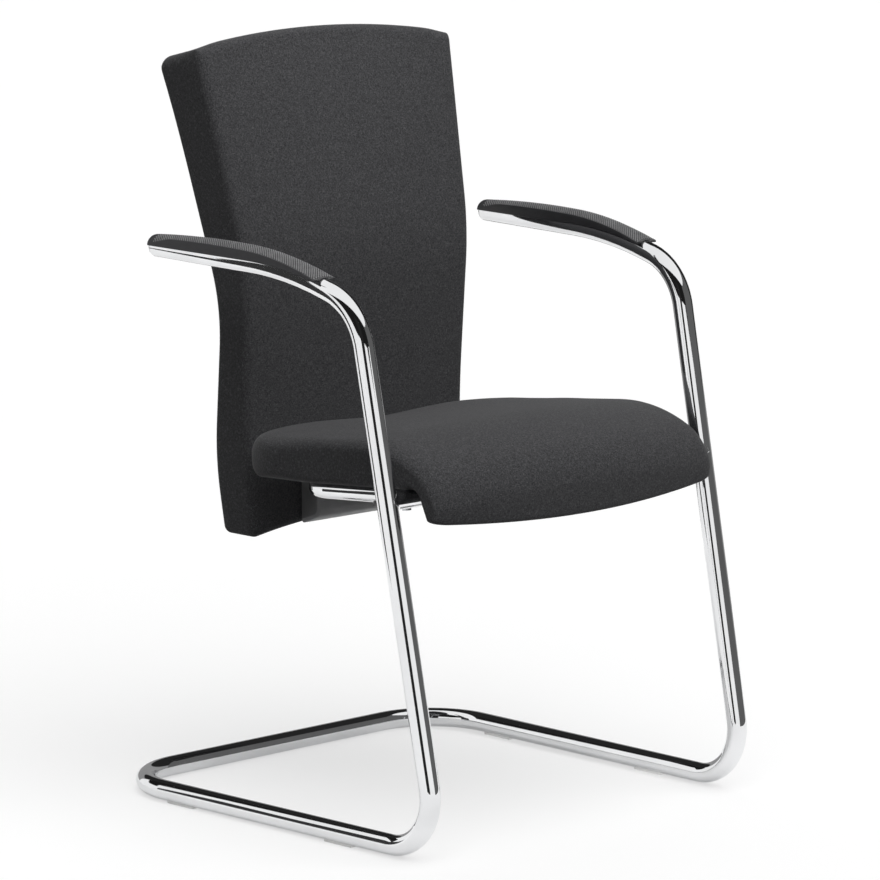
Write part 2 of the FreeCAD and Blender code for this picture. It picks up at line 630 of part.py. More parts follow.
flange_bottom = sheet_level - size("bracket_thickness")
short_screws = [screw("flange_screw_%d" % n, V(p.x, p.y, flange_bottom), Z_AXIS,
                      "sizes.bracket_thickness + sizes.cover_sheet + sizes.board_thickness - sizes.nut_plate")
                for n, p in enumerate(flange_screws)]
sub_part(group("flange_screw_set", short_screws), "bracket_screws", seat_place)

# Seat cushion: lofted side profiles, bowed at the front and crowned in the middle

top_fall = math.atan2(size("seat_front_top") - size("seat_rear_top"), size("seat_rear") - size("seat_brow"))


# The loft is a little too wide and too long, and the plan outline then trims it
seat_trim = size("board_margin")
seat_half = size("seat_width") / 2
seat_end = size("seat_rear") + seat_trim


def arc_down(start, centre, radius, first, last):
    """An arc of the waterfall front between two slopes, measured down from level."""
    def at(angle):
        return V(start.x, centre.y - radius * math.sin(angle), centre.z + radius * math.cos(angle))
    return Part.Arc(at(first), at((first + last) / 2), at(last)).toShape(), at(last)


def seat_profile(name, x, bow):
    """One side profile of the cushion; bow is 0 at the sides and 1 in the middle."""
    shift = -size("front_bow") * bow
    lift = size("seat_crown") * bow
    rear_top = V(x, seat_end, size("seat_rear_top") - seat_trim * math.tan(top_fall) + lift)
    brow = V(x, size("seat_brow") + shift, size("seat_front_top") + lift)
    brow_turn = math.radians(size("brow_turn"))
    brow_centre = V(x, brow.y - size("brow_radius") * math.sin(top_fall),
                    brow.z - size("brow_radius") * math.cos(top_fall))
    brow_arc, turn_point = arc_down(brow, brow_centre, size("brow_radius"), -top_fall, brow_turn)
    nose_centre = V(x, turn_point.y + size("nose_radius") * math.sin(brow_turn),
                    turn_point.z - size("nose_radius") * math.cos(brow_turn))
    nose_arc, nose = arc_down(brow, nose_centre, size("nose_radius"), brow_turn, math.pi / 2)
    lobe_low = -size("lobe_drop") - size("lobe_sag") * bow
    toe = V(x, nose.y + size("lobe_foot") / 4, lobe_low)
    heel = V(x, nose.y + size("lobe_foot") * 5 / 4, lobe_low)
    notch = V(x, heel.y + size("lobe_slope"), size("skirt_level"))
    rear_low = V(x, seat_end, size("skirt_level"))
    wire = Part.Wire([
        Part.LineSegment(rear_low, rear_top).toShape(), Part.LineSegment(rear_top, brow).toShape(),
        brow_arc, nose_arc, Part.LineSegment(nose, toe).toShape(), Part.LineSegment(toe, heel).toShape(),
        Part.LineSegment(heel, notch).toShape(), Part.LineSegment(notch, rear_low).toShape(),
    ])
    return shaped(name, wire)


seat_loft = doc.addObject("Part::Loft", "seat_loft")
seat_loft.Sections = [seat_profile("seat_right", -seat_half - seat_trim, 0),
                      seat_profile("seat_middle", 0, 1),
                      seat_profile("seat_left", seat_half + seat_trim, 0)]
seat_loft.Solid = True
doc.recompute()

seat_front_end = -size("seat_rear")
seat_plan = shaped("seat_plan", plan(seat_half, seat_front_end, size("seat_rear"), size("seat_corner_radius"),
                                     -size("seat_rear")).extrude(Z_AXIS * size("seat_rear") * 2))
seat_blank = common("seat_blank", seat_loft, seat_plan)
pocket = shaped("seat_pocket", plan(board_half + size("fit_gap"), -size("board_front") - size("fit_gap"),
                                    board_rear + size("fit_gap"), corner, 0)
                .extrude(Z_AXIS * (board_top + size("fit_gap"))))
tube_channel = cylinder("tube_channel", "sizes.carrier_od / 2 + sizes.fit_gap * 4", "sizes.seat_width * 2",
                        V(-size("seat_width"), 0, 0), X_AXIS)
bracket_slot = box("bracket_slot", "sizes.bracket_width + sizes.fit_gap * 4", "sizes.seat_rear",
                   "sizes.carrier_od / 2 + sizes.fit_gap * 2",
                   V(-size("bracket_width") / 2 - size("fit_gap") * 2, board_rear, 0))
sub_part(cut("cushion", seat_blank, group("seat_tools", [pocket, tube_channel, bracket_slot])),
         "seat_cushion", seat_place)

# Back bracket: one bent plate, bored for its screws

upright_y = cross_y + size("bracket_upright")
bracket_path = shaped("bracket_path", Part.Wire(rounded_edges(
    [bracket_front, bracket_knee, V(0, leg_y, size("bracket_low")), V(0, upright_y, size("bracket_low")),
     V(0, upright_y, size("bracket_top"))],
    [size("bracket_bend_radius")] * 3,
)))
bracket_plate = strip("bracket_plate", bracket_path, "sizes.bracket_width", "sizes.bracket_thickness")
back_screws = [V(across * size("back_screw_spacing") / 2, upright_y - bracket_half,
                 size("bracket_top") - size("back_screw_inset") - step * size("back_screw_pitch"))
               for across in (-1, 1) for step in range(2)]
housing_screws = [V(across * size("housing_screw_spacing") / 2, housing_y, size("housing_screw_height"))
                  for across in (-1, 1)]
bracket_holes = []
for number, point in enumerate(flange_screws):
    bracket_holes.append(clearance_hole("flange_hole_%d" % number,
                                        seat_place.multVec(V(point.x, point.y, flange_level)),
                                        seat_place.Rotation.multVec(Z_AXIS)))
for number, point in enumerate(back_screws):
    bracket_holes.append(clearance_hole("upright_hole_%d" % number, point, Y_AXIS))
for number, point in enumerate(housing_screws):
    bracket_holes.append(cylinder("leg_hole_%d" % number, "sizes.screw_diameter / 2 + sizes.hole_gap",
                                  "sizes.housing_wall * 5", point, Y_AXIS))
sub_part(cut("bracket", bracket_plate, group("bracket_holes", bracket_holes)), "back_bracket")

# Back shell: a plate bent to the back's lean, standing against the bracket's upright

shell_y = upright_y + bracket_half + size("shell_thickness") / 2
shell_rise = size("shell_top") - size("shell_bend_height")
shell_points = [V(0, shell_y, size("shell_bottom")), V(0, shell_y, size("shell_bend_height")),
                V(0, shell_y + shell_rise * slope("shell_lean"), size("shell_top"))]
shell_path = shaped("shell_path", Part.Wire(rounded_edges(shell_points, [size("back_curve_radius")])))
shell_blank = strip("shell_blank", shell_path, "sizes.shell_width", "sizes.shell_thickness")
shell_back = shell_y + size("shell_thickness") / 2
shell_pockets = [nut_pocket("shell_pocket_%d" % n, V(p.x, shell_back, p.z), Y_AXIS * -1)
                 for n, p in enumerate(back_screws)]
sub_part(cut("shell", shell_blank, group("shell_pockets", shell_pockets)), "back_shell")
sub_part(group("shell_nuts", [tee_nut("shell_nut_%d" % n, V(p.x, shell_back, p.z), Y_AXIS * -1,
                                      "sizes.shell_thickness - sizes.fit_gap")
                              for n, p in enumerate(back_screws)]), "back_tee_nuts")
sub_part(group("back_screw_set", [screw("back_screw_%d" % n, p, Y_AXIS,
                                        "sizes.bracket_thickness + sizes.shell_thickness - sizes.nut_plate")
                                  for n, p in enumerate(back_screws)]), "back_screws")

# Back cushion: side outline, front outline and arched ends crossed, with rounded edges

back_top = size("back_shoulder_height") + size("back_arch") * 2
front_y = cross_y + size("back_front")
rear_y = front_y + size("back_depth_bottom")
front_waist = V(0, front_y + size("front_hollow"), size("front_hollow_height"))
rear_waist = V(0, rear_y + size("rear_hollow"), size("rear_hollow_height"))
side_points = [
    V(0, front_y, size("back_bottom")),
    V(0, front_y + size("front_swell"), size("front_swell_height")),
    front_waist,
    V(0, front_waist.y + (back_top - front_waist.z) * slope("front_lean"), back_top),
    V(0, rear_waist.y + (back_top - rear_waist.z) * slope("rear_lean"), back_top),
    rear_waist,
    V(0, rear_y + size("rear_swell"), size("rear_swell_height")),
    V(0, rear_y, size("back_bottom")),
]
curve = size("back_curve_radius")
side_face = Part.Face(Part.Wire(rounded_edges(
    side_points, [0, curve, curve, 0, 0, curve, curve / 2, 0], closed=True)))
side_prism = shaped("back_side_prism", side_face.extrude(X_AXIS * size("back_shoulder_width") * 2))
side_prism.Placement = FreeCAD.Placement(X_AXIS * -size("back_shoulder_width"), FreeCAD.Rotation())

foot_half = size("back_foot_width") / 2
waist_half = size("back_waist_width") / 2
shoulder_half = size("back_shoulder_width") / 2
foot_z, waist_z, shoulder_z = (size(name) for name in (
    "back_bottom", "back_waist_height", "back_shoulder_height"))
flare = (shoulder_half - waist_half) / (shoulder_z - waist_z)
crest_half = waist_half + flare * (back_top - waist_z)
front_points = [V(-foot_half, 0, foot_z), V(foot_half, 0, foot_z), V(waist_half, 0, waist_z),
                V(crest_half, 0, back_top), V(-crest_half, 0, back_top), V(-waist_half, 0, waist_z)]
front_face = Part.Face(Part.Wire(rounded_edges(
    front_points, [0, 0, curve * 2, 0, 0, curve * 2], closed=True)))
front_prism = shaped("back_front_prism", front_face.extrude(Y_AXIS * size("overall_depth")))

# The arched top is a wide cylinder whose axis falls towards the rear, through the front top edge
arch_radius = (shoulder_half ** 2 + size("back_arch") ** 2) / (2 * size("back_arch"))
crest_line = FreeCAD.Rotation(X_AXIS, -size("back_top_fall")).multVec(Y_AXIS)
crest_z = shoulder_z + size("back_arch")
crest_y = front_waist.y + (crest_z - front_waist.z) * slope("front_lean")
arch_axis = V(0, crest_y, crest_z) - X_AXIS.cross(crest_line) * arch_radius
arch_drum = cylinder("back_arch_drum", "%f" % arch_radius, "sizes.overall_depth * 2",
                     arch_axis - crest_line * size("overall_depth"), crest_line)

# The bottom edge is hollowed by another wide cylinder, level from front to rear
hollow_radius = (foot_half ** 2 + size("back_bottom_arch") ** 2) / (2 * size("back_bottom_arch"))


def hollow_drum(name):
    """The wide cylinder that arches the bottom edges of the back and of the bracket cover."""
    return cylinder(name, "%f" % hollow_radius, "sizes.overall_depth",
                    V(0, 0, foot_z + size("back_bottom_arch") - hollow_radius), Y_AXIS)


back_sides = common("back_sides", side_prism, front_prism)
back_blank = cut("back_blank", common("back_crown", back_sides, arch_drum), hollow_drum("back_hollow_drum"))
doc.recompute()

back_round = doc.addObject("Part::Fillet", "back_round")
back_round.Base = back_blank
back_round.Edges = [(number, size("back_edge_radius"), size("back_edge_radius"))
                    for number in range(1, len(back_blank.Shape.Edges) + 1)]

gap = size("fit_gap")
shell_room = strip("shell_room", shell_path, "sizes.shell_width + sizes.fit_gap * 2",
                   "sizes.shell_thickness + sizes.fit_gap * 2")
head_room = upright_y - max(bracket_half + size("head_height"), size("bracket_bend_radius")) - gap
low_room = size("bracket_low") - bracket_half - gap
upright_room = box("upright_room", "sizes.bracket_width + sizes.fit_gap * 2",
                   "%f" % (shell_back + gap - head_room), "%f" % (size("bracket_top") + gap - low_room),
                   V(-size("bracket_width") / 2 - gap, head_room, low_room))
entry_room = box("entry_room", "sizes.bracket_width + sizes.fit_gap * 2",
                 "sizes.bracket_upright - sizes.housing_front", "sizes.bracket_thickness + sizes.fit_gap * 2",
                 V(-size("bracket_width") / 2 - gap, housing_y, low_room))
sub_part(cut("back", back_round, group("back_rooms", [shell_room, upright_room, entry_room])), "back_cushion")

# Bracket cover: a moulded housing, open at the top and towards the back

housing_half = size("housing_width") / 2
housing_back = front_y - size("housing_gap")


def housing_profile(inset, back, top):
    """The cover's side outline, drawn in from its front and bottom by an inset."""
    front = housing_y + inset
    low = size("housing_bottom") + inset / math.cos(math.radians(size("housing_slope")))
    toe = low + (housing_back - front) * slope("housing_slope")
    heel = low + (housing_back - back) * slope("housing_slope")
    points = [V(0, back, heel), V(0, back, top), V(0, front, top), V(0, front, toe)]
    return Part.Face(Part.Wire(rounded_edges(points, [0, 0, 0, size("housing_radius") - inset], closed=True)))


wall = size("housing_wall")
housing_block = shaped("housing_block", housing_profile(0, housing_back, size("housing_top"))
                       .extrude(X_AXIS * size("housing_width")))
housing_block.Placement = FreeCAD.Placement(X_AXIS * -housing_half, FreeCAD.Rotation())
housing_room = shaped("housing_room", housing_profile(wall, housing_back + wall, size("housing_top") + wall)
                      .extrude(X_AXIS * (size("housing_width") - 2 * wall)))
housing_room.Placement = FreeCAD.Placement(X_AXIS * (wall - housing_half), FreeCAD.Rotation())
housing_holes = [cylinder("housing_hole_%d" % n, "sizes.screw_diameter / 2 + sizes.hole_gap",
                          "sizes.housing_wall * 3", p - Y_AXIS * wall, Y_AXIS)
                 for n, p in enumerate(housing_screws)]
housing_tools = [housing_room, hollow_drum("housing_hollow_drum")] + housing_holes
sub_part(cut("housing", housing_block, group("housing_tools", housing_tools)), "bracket_cover")
sub_part(group("housing_screw_set", [screw("housing_screw_%d" % n, p, Y_AXIS,
                                           "sizes.housing_wall + sizes.bracket_thickness")
                                     for n, p in enumerate(housing_screws)]), "bracket_cover_screws")

# Every feature has to be sound before anything is written

doc.recompute()
for feature in doc.Objects:
    if {"Invalid", "Error"} & set(feature.State):
        raise RuntimeError("feature failed: %s %s" % (feature.Name, feature.State))
for feature in SUB_PARTS:
    if feature.Shape.isNull() or not feature.Shape.isValid():
        raise RuntimeError("bad shape: %s" % feature.Label)

os.makedirs("parts", exist_ok=True)
for feature in SUB_PARTS:
    feature.Shape.exportStep("parts/%s.step" % feature.Label)
    print("%-24s solids %d  volume %.0f" % (feature.Label, len(feature.Shape.Solids), feature.Shape.Volume))
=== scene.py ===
"""Cantilever visitor chair: bent chrome tube, upholstered seat and back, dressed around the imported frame."""

import json
import logging
import math
from dataclasses import dataclass, field
from enum import Enum
from typing import Callable, Iterable, Sequence

import bmesh
import bpy
from mathutils import Matrix, Vector

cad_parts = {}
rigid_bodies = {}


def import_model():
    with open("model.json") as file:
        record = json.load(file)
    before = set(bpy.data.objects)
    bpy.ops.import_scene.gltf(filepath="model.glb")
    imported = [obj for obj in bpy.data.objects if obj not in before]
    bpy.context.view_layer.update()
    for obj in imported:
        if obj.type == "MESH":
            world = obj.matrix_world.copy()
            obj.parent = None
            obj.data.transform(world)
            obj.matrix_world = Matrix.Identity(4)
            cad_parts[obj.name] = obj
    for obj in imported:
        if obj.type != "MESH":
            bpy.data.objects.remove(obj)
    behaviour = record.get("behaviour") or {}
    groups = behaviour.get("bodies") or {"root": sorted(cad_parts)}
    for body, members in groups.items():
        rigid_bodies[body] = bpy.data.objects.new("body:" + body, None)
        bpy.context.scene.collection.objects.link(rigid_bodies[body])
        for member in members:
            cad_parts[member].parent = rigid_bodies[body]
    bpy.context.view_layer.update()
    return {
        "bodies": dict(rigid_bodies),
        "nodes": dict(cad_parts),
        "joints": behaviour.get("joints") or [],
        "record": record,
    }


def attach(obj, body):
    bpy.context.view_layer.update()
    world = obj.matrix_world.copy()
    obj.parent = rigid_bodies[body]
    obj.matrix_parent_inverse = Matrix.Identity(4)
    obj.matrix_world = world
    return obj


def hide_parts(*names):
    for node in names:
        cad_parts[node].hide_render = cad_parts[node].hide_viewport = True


LOG = logging.getLogger("chair")
MM = 0.001
WELD = 0.002 * MM
BODY = "root"
X_AXIS = Vector((1.0, 0.0, 0.0))
Y_AXIS = Vector((0.0, 1.0, 0.0))
Z_AXIS = Vector((0.0, 0.0, 1.0))
Point = tuple[float, float]
Triple = tuple[float, float, float]
Shape = bmesh.types.BMesh
Ring = list[bmesh.types.BMVert]
Edges = list[bmesh.types.BMEdge]
Piece = bpy.types.Object
Socket = bpy.types.NodeSocket


class Side(Enum):
    """The two sides of the chair, by the sign of X."""

    RIGHT = -1
    LEFT = 1

    @property
    def word(self) -> str:
        """The side's name in the nodes' names."""
        return self.name.lower()


# Materials


class NodePad:
    """A node tree with short calls to add and join nodes."""

    def __init__(self, tree: bpy.types.NodeTree) -> None:
        """Start on a tree, with the nodes that it has."""
        self.tree = tree

    def node(self, kind: str, **settings: object) -> bpy.types.Node:
        """Add a node and set its properties.

        Args:
            kind: Blender's name of the node type.
            settings: Properties of the node.

        Returns:
            The new node.
        """
        added = self.tree.nodes.new(kind)
        for name, value in settings.items():
            setattr(added, name, value)
        return added

    def join(self, source: Socket, target: Socket) -> None:
        """Join an output to an input."""
        self.tree.links.new(source, target)

    def math(self, operation: str, first: Socket | float, second: Socket | float = 0.0) -> Socket:
        """One arithmetic step.

        Args:
            operation: Blender's name of the step.
            first: A socket or a number.
            second: A socket or a number.

        Returns:
            The result.
        """
        step = self.node("ShaderNodeMath", operation=operation)
        for slot, value in zip(step.inputs, (first, second)):
            if isinstance(value, Socket):
                self.join(value, slot)
            else:
                slot.default_value = value
        return step.outputs[0]

    def blend(self, first: Socket, second: Socket, shares: Point) -> Socket:
        """Two values added up, each times its share."""
        scaled = [self.math("MULTIPLY", value, share) for value, share in zip((first, second), shares)]
        return self.math("ADD", *scaled)

    def span(self, value: Socket, low: float, high: float) -> Socket:
        """Spread a value from 0 to 1 over a range.

        Args:
            value: The value to spread.
            low: Result at 0.
            high: Result at 1.

        Returns:
            The spread value.
        """
        spread_out = self.node("ShaderNodeMapRange")
        spread_out.inputs["To Min"].default_value = low
        spread_out.inputs["To Max"].default_value = high
        self.join(value, spread_out.inputs["Value"])
        return spread_out.outputs["Result"]


class FinishPad(NodePad):
    """A new material's nodes round its Principled shader."""

    def __init__(self, name: str) -> None:
        """Start a material of this name."""
        self.material = bpy.data.materials.new(name)
        self.material.use_nodes = True
        super().__init__(self.material.node_tree)
        self.shader = self.tree.nodes["Principled BSDF"]
        self.place = self.node("ShaderNodeTexCoord").outputs["Object"]

    def noise(self, scale: float, detail: float = 2.0, place: Socket | None = None) -> Socket:
        """A noise on the piece's own coordinates.

        Args:
            scale: Noise cells per metre.
            detail: Octaves of finer noise.
            place: Coordinates to use instead of the piece's own.

        Returns:
            The noise's value.
        """
        noise = self.node("ShaderNodeTexNoise")
        noise.inputs["Scale"].default_value = scale
        noise.inputs["Detail"].default_value = detail
        self.join(place or self.place, noise.inputs["Vector"])
        return noise.outputs["Fac"]

    def streaks(self, stretch: Triple, scale: float = 1.0, detail: float = 2.0) -> Socket:
        """A noise that is drawn out along the axes where the stretch is small.

        Args:
            stretch: Factors on the piece's own X, Y and Z.
            scale: Noise cells per stretched metre.
            detail: Octaves of finer noise.

        Returns:
            The noise's value.
        """
        drawn = self.node("ShaderNodeMapping")
        drawn.inputs["Scale"].default_value = stretch
        self.join(self.place, drawn.inputs["Vector"])
        return self.noise(scale, detail, drawn.outputs["Vector"])

    def colour(self, value: Socket, stops: Sequence[float], colours: Sequence[Triple]) -> None:
        """Colour the surface along a value.

        Args:
            value: The driving value.
            stops: Places along it, in order.
            colours: The linear colour at each of them.
        """
        ramp = self.node("ShaderNodeValToRGB")
        bands = ramp.color_ramp.elements
        while len(bands) < len(stops):
            bands.new(0.5)
        for band, stop, colour in zip(bands, stops, colours):
            band.position = stop
            band.color = (*colour, 1.0)
        self.join(value, ramp.inputs["Fac"])
        self.join(ramp.outputs["Color"], self.shader.inputs["Base Color"])

    def rough(self, value: Socket, gloss: Point) -> None:
        """Spread the surface's roughness along a value."""
        self.join(self.span(value, *gloss), self.shader.inputs["Roughness"])

    def bump(self, height: Socket, depth: float, strength: float) -> None:
        """Let a height disturb the shader's normal.

        Args:
            height: The height's value.
            depth: Height of a step from 0 to 1, in metres.
            strength: Share of the effect.
        """
        bump = self.node("ShaderNodeBump")
        bump.inputs["Distance"].default_value = depth
        bump.inputs["Strength"].default_value = strength
        self.join(height, bump.inputs["Height"])
        self.join(bump.outputs["Normal"], self.shader.inputs["Normal"])

    def set(self, **values: object) -> None:
        """Set plain values on the shader, with spaces of its socket names as underscores."""
        for name, value in values.items():
            self.shader.inputs[name.replace("_", " ")].default_value = value


@dataclass(frozen=True)
class Finish:
    """What all finishes share: a name, and how their material is made."""

    name: str

    def build(self) -> bpy.types.Material:
        """Make the material.

        Returns:
            The painted material.
        """
        pad = FinishPad(self.name)
        self.paint(pad)
        return pad.material

    def paint(self, pad: FinishPad) -> None:
        """Give the material its surface, each finish in its own way."""
        raise NotImplementedError


@dataclass(frozen=True)
class WovenCloth(Finish):
    """Charcoal upholstery cloth: crossed uneven yarns with slubs."""

    name: str = "charcoal_weave"
    dark: Triple = (0.0218, 0.0218, 0.0235)
    middle: Triple = (0.0520, 0.0520, 0.0546)
    light: Triple = (0.1000, 0.1000, 0.1033)
    stops: Triple = (0.40, 0.55, 0.70)
    yarn_scale: float = 1050.0
    yarn_length: float = 3.0
    slub_scale: float = 340.0
    weave_and_slub: Point = (0.80, 0.16)
    gloss: Point = (0.80, 0.95)
    thread_depth: float = 0.5 * MM

    def paint(self, pad: FinishPad) -> None:
        """Cross two runs of yarn and mottle them with slubs.

        Args:
            pad: The material's nodes.
        """
        thick, along = self.yarn_scale, self.yarn_scale / self.yarn_length
        weft = pad.streaks((along, thick, thick))
        warp = pad.streaks((thick, along, along))
        weave = pad.math("MAXIMUM", weft, warp)
        tone = pad.blend(weave, pad.noise(self.slub_scale, detail=3.0), self.weave_and_slub)
        pad.colour(tone, self.stops, (self.dark, self.middle, self.light))
        pad.rough(weave, self.gloss)
        pad.set(Sheen_Weight=0.10, Sheen_Roughness=0.5, Specular_IOR_Level=0.2)
        pad.bump(weave, self.thread_depth, strength=0.6)


@dataclass(frozen=True)
class PolishedChrome(Finish):
    """Bright chrome plating with a faint ripple and dull patches from handling."""

    name: str = "polished_chrome"
    bright: Triple = (0.83, 0.835, 0.845)
    worn: Triple = (0.75, 0.755, 0.765)
    stops: Point = (0.35, 0.75)
    gloss: Point = (0.028, 0.075)
    patch_scale: float = 14.0
    ripple_scale: float = 60.0
    ripple: float = 0.02 * MM

    def paint(self, pad: FinishPad) -> None:
        """Dull the plating in patches and ripple it.

        Args:
            pad: The material's nodes.
        """
        handling = pad.noise(self.patch_scale, detail=4.0)
        pad.colour(handling, self.stops, (self.bright, self.worn))
        pad.rough(handling, self.gloss)
        pad.set(Metallic=1.0)
        pad.bump(pad.noise(self.ripple_scale, detail=1.0), self.ripple, strength=0.5)


@dataclass(frozen=True)
class MouldedPlastic(Finish):
    """Moulded plastic with a spark-eroded grain and paler high spots."""

    deep: Triple
    pale: Triple
    gloss: Point = (0.42, 0.58)
    stops: Point = (0.35, 0.68)
    patch_scale: float = 35.0
    grain_scale: float = 2600.0
    grain_and_patch: Point = (0.5, 0.5)
    grain_depth: float = 0.05 * MM
    clear: float = 0.0

    def paint(self, pad: FinishPad) -> None:
        """Mix the grain with wider patches.

        Args:
            pad: The material's nodes.
        """
        grain = pad.noise(self.grain_scale)
        patch = pad.noise(self.patch_scale, detail=3.0)
        pad.colour(pad.blend(grain, patch, self.grain_and_patch), self.stops, (self.deep, self.pale))
        pad.rough(patch, self.gloss)
        pad.set(Specular_IOR_Level=0.45, Transmission_Weight=self.clear)
        pad.bump(grain, self.grain_depth, strength=0.6)


@dataclass(frozen=True)
class KnurledGrip(Finish):
    """The pads' grey top face: pale diamonds, with painted shade darkening the grooves of its knurl."""

    name: str = "arm_pad_grip"
    lattice: str = "knurl_lattice"
    pitch: int = 4
    # The deep colour is painted shade in the grooves; the pale colour is the diamonds' own grey.
    deep: Triple = (0.026, 0.026, 0.027)
    pale: Triple = (0.245, 0.245, 0.250)
    stops: Point = (0.30, 0.62)
    gloss: Point = (0.72, 0.52)
    wear_scale: float = 90.0
    # Shares of the grooves' painted shade and of random wear.
    groove_shade_and_wear: Point = (-0.4, 0.3)
    base_tone: float = 0.45

    def paint(self, pad: FinishPad) -> None:
        """Paint shade into the grooves, by each point's place in the knurl's lattice.

        Args:
            pad: The material's nodes.
        """
        lattice = pad.node("ShaderNodeAttribute", attribute_name=self.lattice)
        axes = pad.node("ShaderNodeSeparateXYZ")
        pad.join(lattice.outputs["Vector"], axes.inputs[0])
        # Painted shade: the lattice's groove lines darken the colour, mixed with random wear.
        grooves = []
        for step in ("ADD", "SUBTRACT"):
            across = pad.math(step, axes.outputs["X"], axes.outputs["Y"])
            grooves.append(pad.math("COSINE", pad.math("MULTIPLY", across, math.tau / self.pitch)))
        wear = pad.noise(self.wear_scale, detail=3.0)
        shade = pad.blend(pad.math("MAXIMUM", *grooves), wear, self.groove_shade_and_wear)
        tone = pad.math("ADD", shade, self.base_tone)
        pad.colour(tone, self.stops, (self.deep, self.pale))
        pad.rough(tone, self.gloss)
        pad.set(Specular_IOR_Level=0.4)


@dataclass(frozen=True)
class PlatedSteel(Finish):
    """Zinc-plated or coated steel of fasteners and brackets."""

    deep: Triple
    pale: Triple
    metal: float
    gloss: Point
    stops: Point = (0.35, 0.65)
    spangle_scale: float = 420.0
    spangle_depth: float = 0.03 * MM

    def paint(self, pad: FinishPad) -> None:
        """Spread the spangle of the coat.

        Args:
            pad: The material's nodes.
        """
        spangle = pad.noise(self.spangle_scale, detail=3.0)
        pad.colour(spangle, self.stops, (self.deep, self.pale))
        pad.rough(spangle, self.gloss)
        pad.set(Metallic=self.metal)
        pad.bump(spangle, self.spangle_depth, strength=0.5)


@dataclass(frozen=True)
class BirchPly(Finish):
    """Raw plywood of the seat board and back plate, with grain along X."""

    name: str = "birch_ply"
    early: Triple = (0.60, 0.44, 0.27)
    late: Triple = (0.42, 0.28, 0.15)
    stops: Point = (0.35, 0.65)
    gloss: Point = (0.55, 0.75)
    stretch: Triple = (4.0, 60.0, 60.0)
    grain_depth: float = 0.2 * MM

    def paint(self, pad: FinishPad) -> None:
        """Draw the grain.

        Args:
            pad: The material's nodes.
        """
        grain = pad.streaks(self.stretch, scale=3.0, detail=5.0)
        pad.colour(grain, self.stops, (self.early, self.late))
        pad.rough(grain, self.gloss)
        pad.bump(grain, self.grain_depth, strength=0.5)


class Finishes:
    """All finishes of the chair, each under its material slot in the record."""

    def __init__(self) -> None:
        """Build every material once."""
        self.pad_grip = KnurledGrip().build()
        kinds = {
            "charcoal_fabric": WovenCloth(),
            "chrome_tube": PolishedChrome(),
            "pad_plastic": MouldedPlastic("arm_pad_plastic", (0.022, 0.022, 0.024), (0.042, 0.042, 0.045)),
            "glide_plastic": MouldedPlastic("glide_nylon", (0.70, 0.70, 0.69), (0.82, 0.82, 0.81), clear=0.9),
            "cover_plastic": MouldedPlastic("cover_plastic", (0.150, 0.150, 0.154), (0.220, 0.220, 0.225),
                                            gloss=(0.36, 0.50)),
            "black_steel": PlatedSteel("black_coated_steel", (0.016, 0.016, 0.017), (0.030, 0.030, 0.031),
                                       metal=0.0, gloss=(0.40, 0.55)),
            "zinc_steel": PlatedSteel("zinc_plated_steel", (0.50, 0.51, 0.53), (0.66, 0.67, 0.68),
                                      metal=1.0, gloss=(0.24, 0.40)),
            "plywood": BirchPly(),
        }
        self.by_slot = {slot: finish.build() for slot, finish in kinds.items()}

    def dress(self, piece: Piece, slot: str) -> None:
        """Give a piece the finish of a slot, in place of any it has.

        Args:
            piece: The object to dress.
            slot: The record's material slot.
        """
        if piece.data.materials:
            piece.data.materials.clear()
        piece.data.materials.append(self.by_slot[slot])


# Mesh helpers


def link_mesh(bm: Shape, name: str) -> Piece:
    """Turn a bmesh into a linked object at the origin.

    Args:
        bm: The finished bmesh, which is freed.
        name: The object's name.

    Returns:
        The new object.
    """
    mesh = bpy.data.meshes.new(name)
    bm.to_mesh(mesh)
    bm.free()
    piece = bpy.data.objects.new(name, mesh)
    bpy.context.scene.collection.objects.link(piece)
    return piece


def finish_mesh(bm: Shape, name: str, sharp_angle: float = 40.0) -> Piece:
    """Turn a bmesh into a smooth-shaded piece.

    Args:
        bm: The finished bmesh, which is freed.
        name: The piece's name.
        sharp_angle: Edges that turn by more degrees than this stay crisp.

    Returns:
        The new piece.
    """
    bmesh.ops.remove_doubles(bm, verts=bm.verts[:], dist=WELD)
    bmesh.ops.recalc_face_normals(bm, faces=bm.faces[:])
    for face in bm.faces:
        face.smooth = True
    piece = link_mesh(bm, name)
    piece.data.set_sharp_from_angle(angle=math.radians(sharp_angle))
    return piece


def settle(piece: Piece, slot: str, finishes: Finishes, nodes: Iterable[str]) -> None:
    """Dress a new piece, attach it to the chair's body and hide the nodes that it stands for.

    Args:
        piece: The new piece.
        slot: The record's material slot.
        finishes: The chair's finishes.
        nodes: CAD nodes that the piece replaces.
    """
    finishes.dress(piece, slot)
    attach(piece, BODY)
    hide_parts(*nodes)
    LOG.info("%s: %d faces", piece.name, len(piece.data.polygons))


def ring_edges(geometry: Iterable[object]) -> Edges:
    """The edges among an operator's results."""
    return [item for item in geometry if isinstance(item, bmesh.types.BMEdge)]


def ring_verts(geometry: Iterable[object]) -> Ring:
    """The vertices among an operator's results."""
    return [item for item in geometry if isinstance(item, bmesh.types.BMVert)]


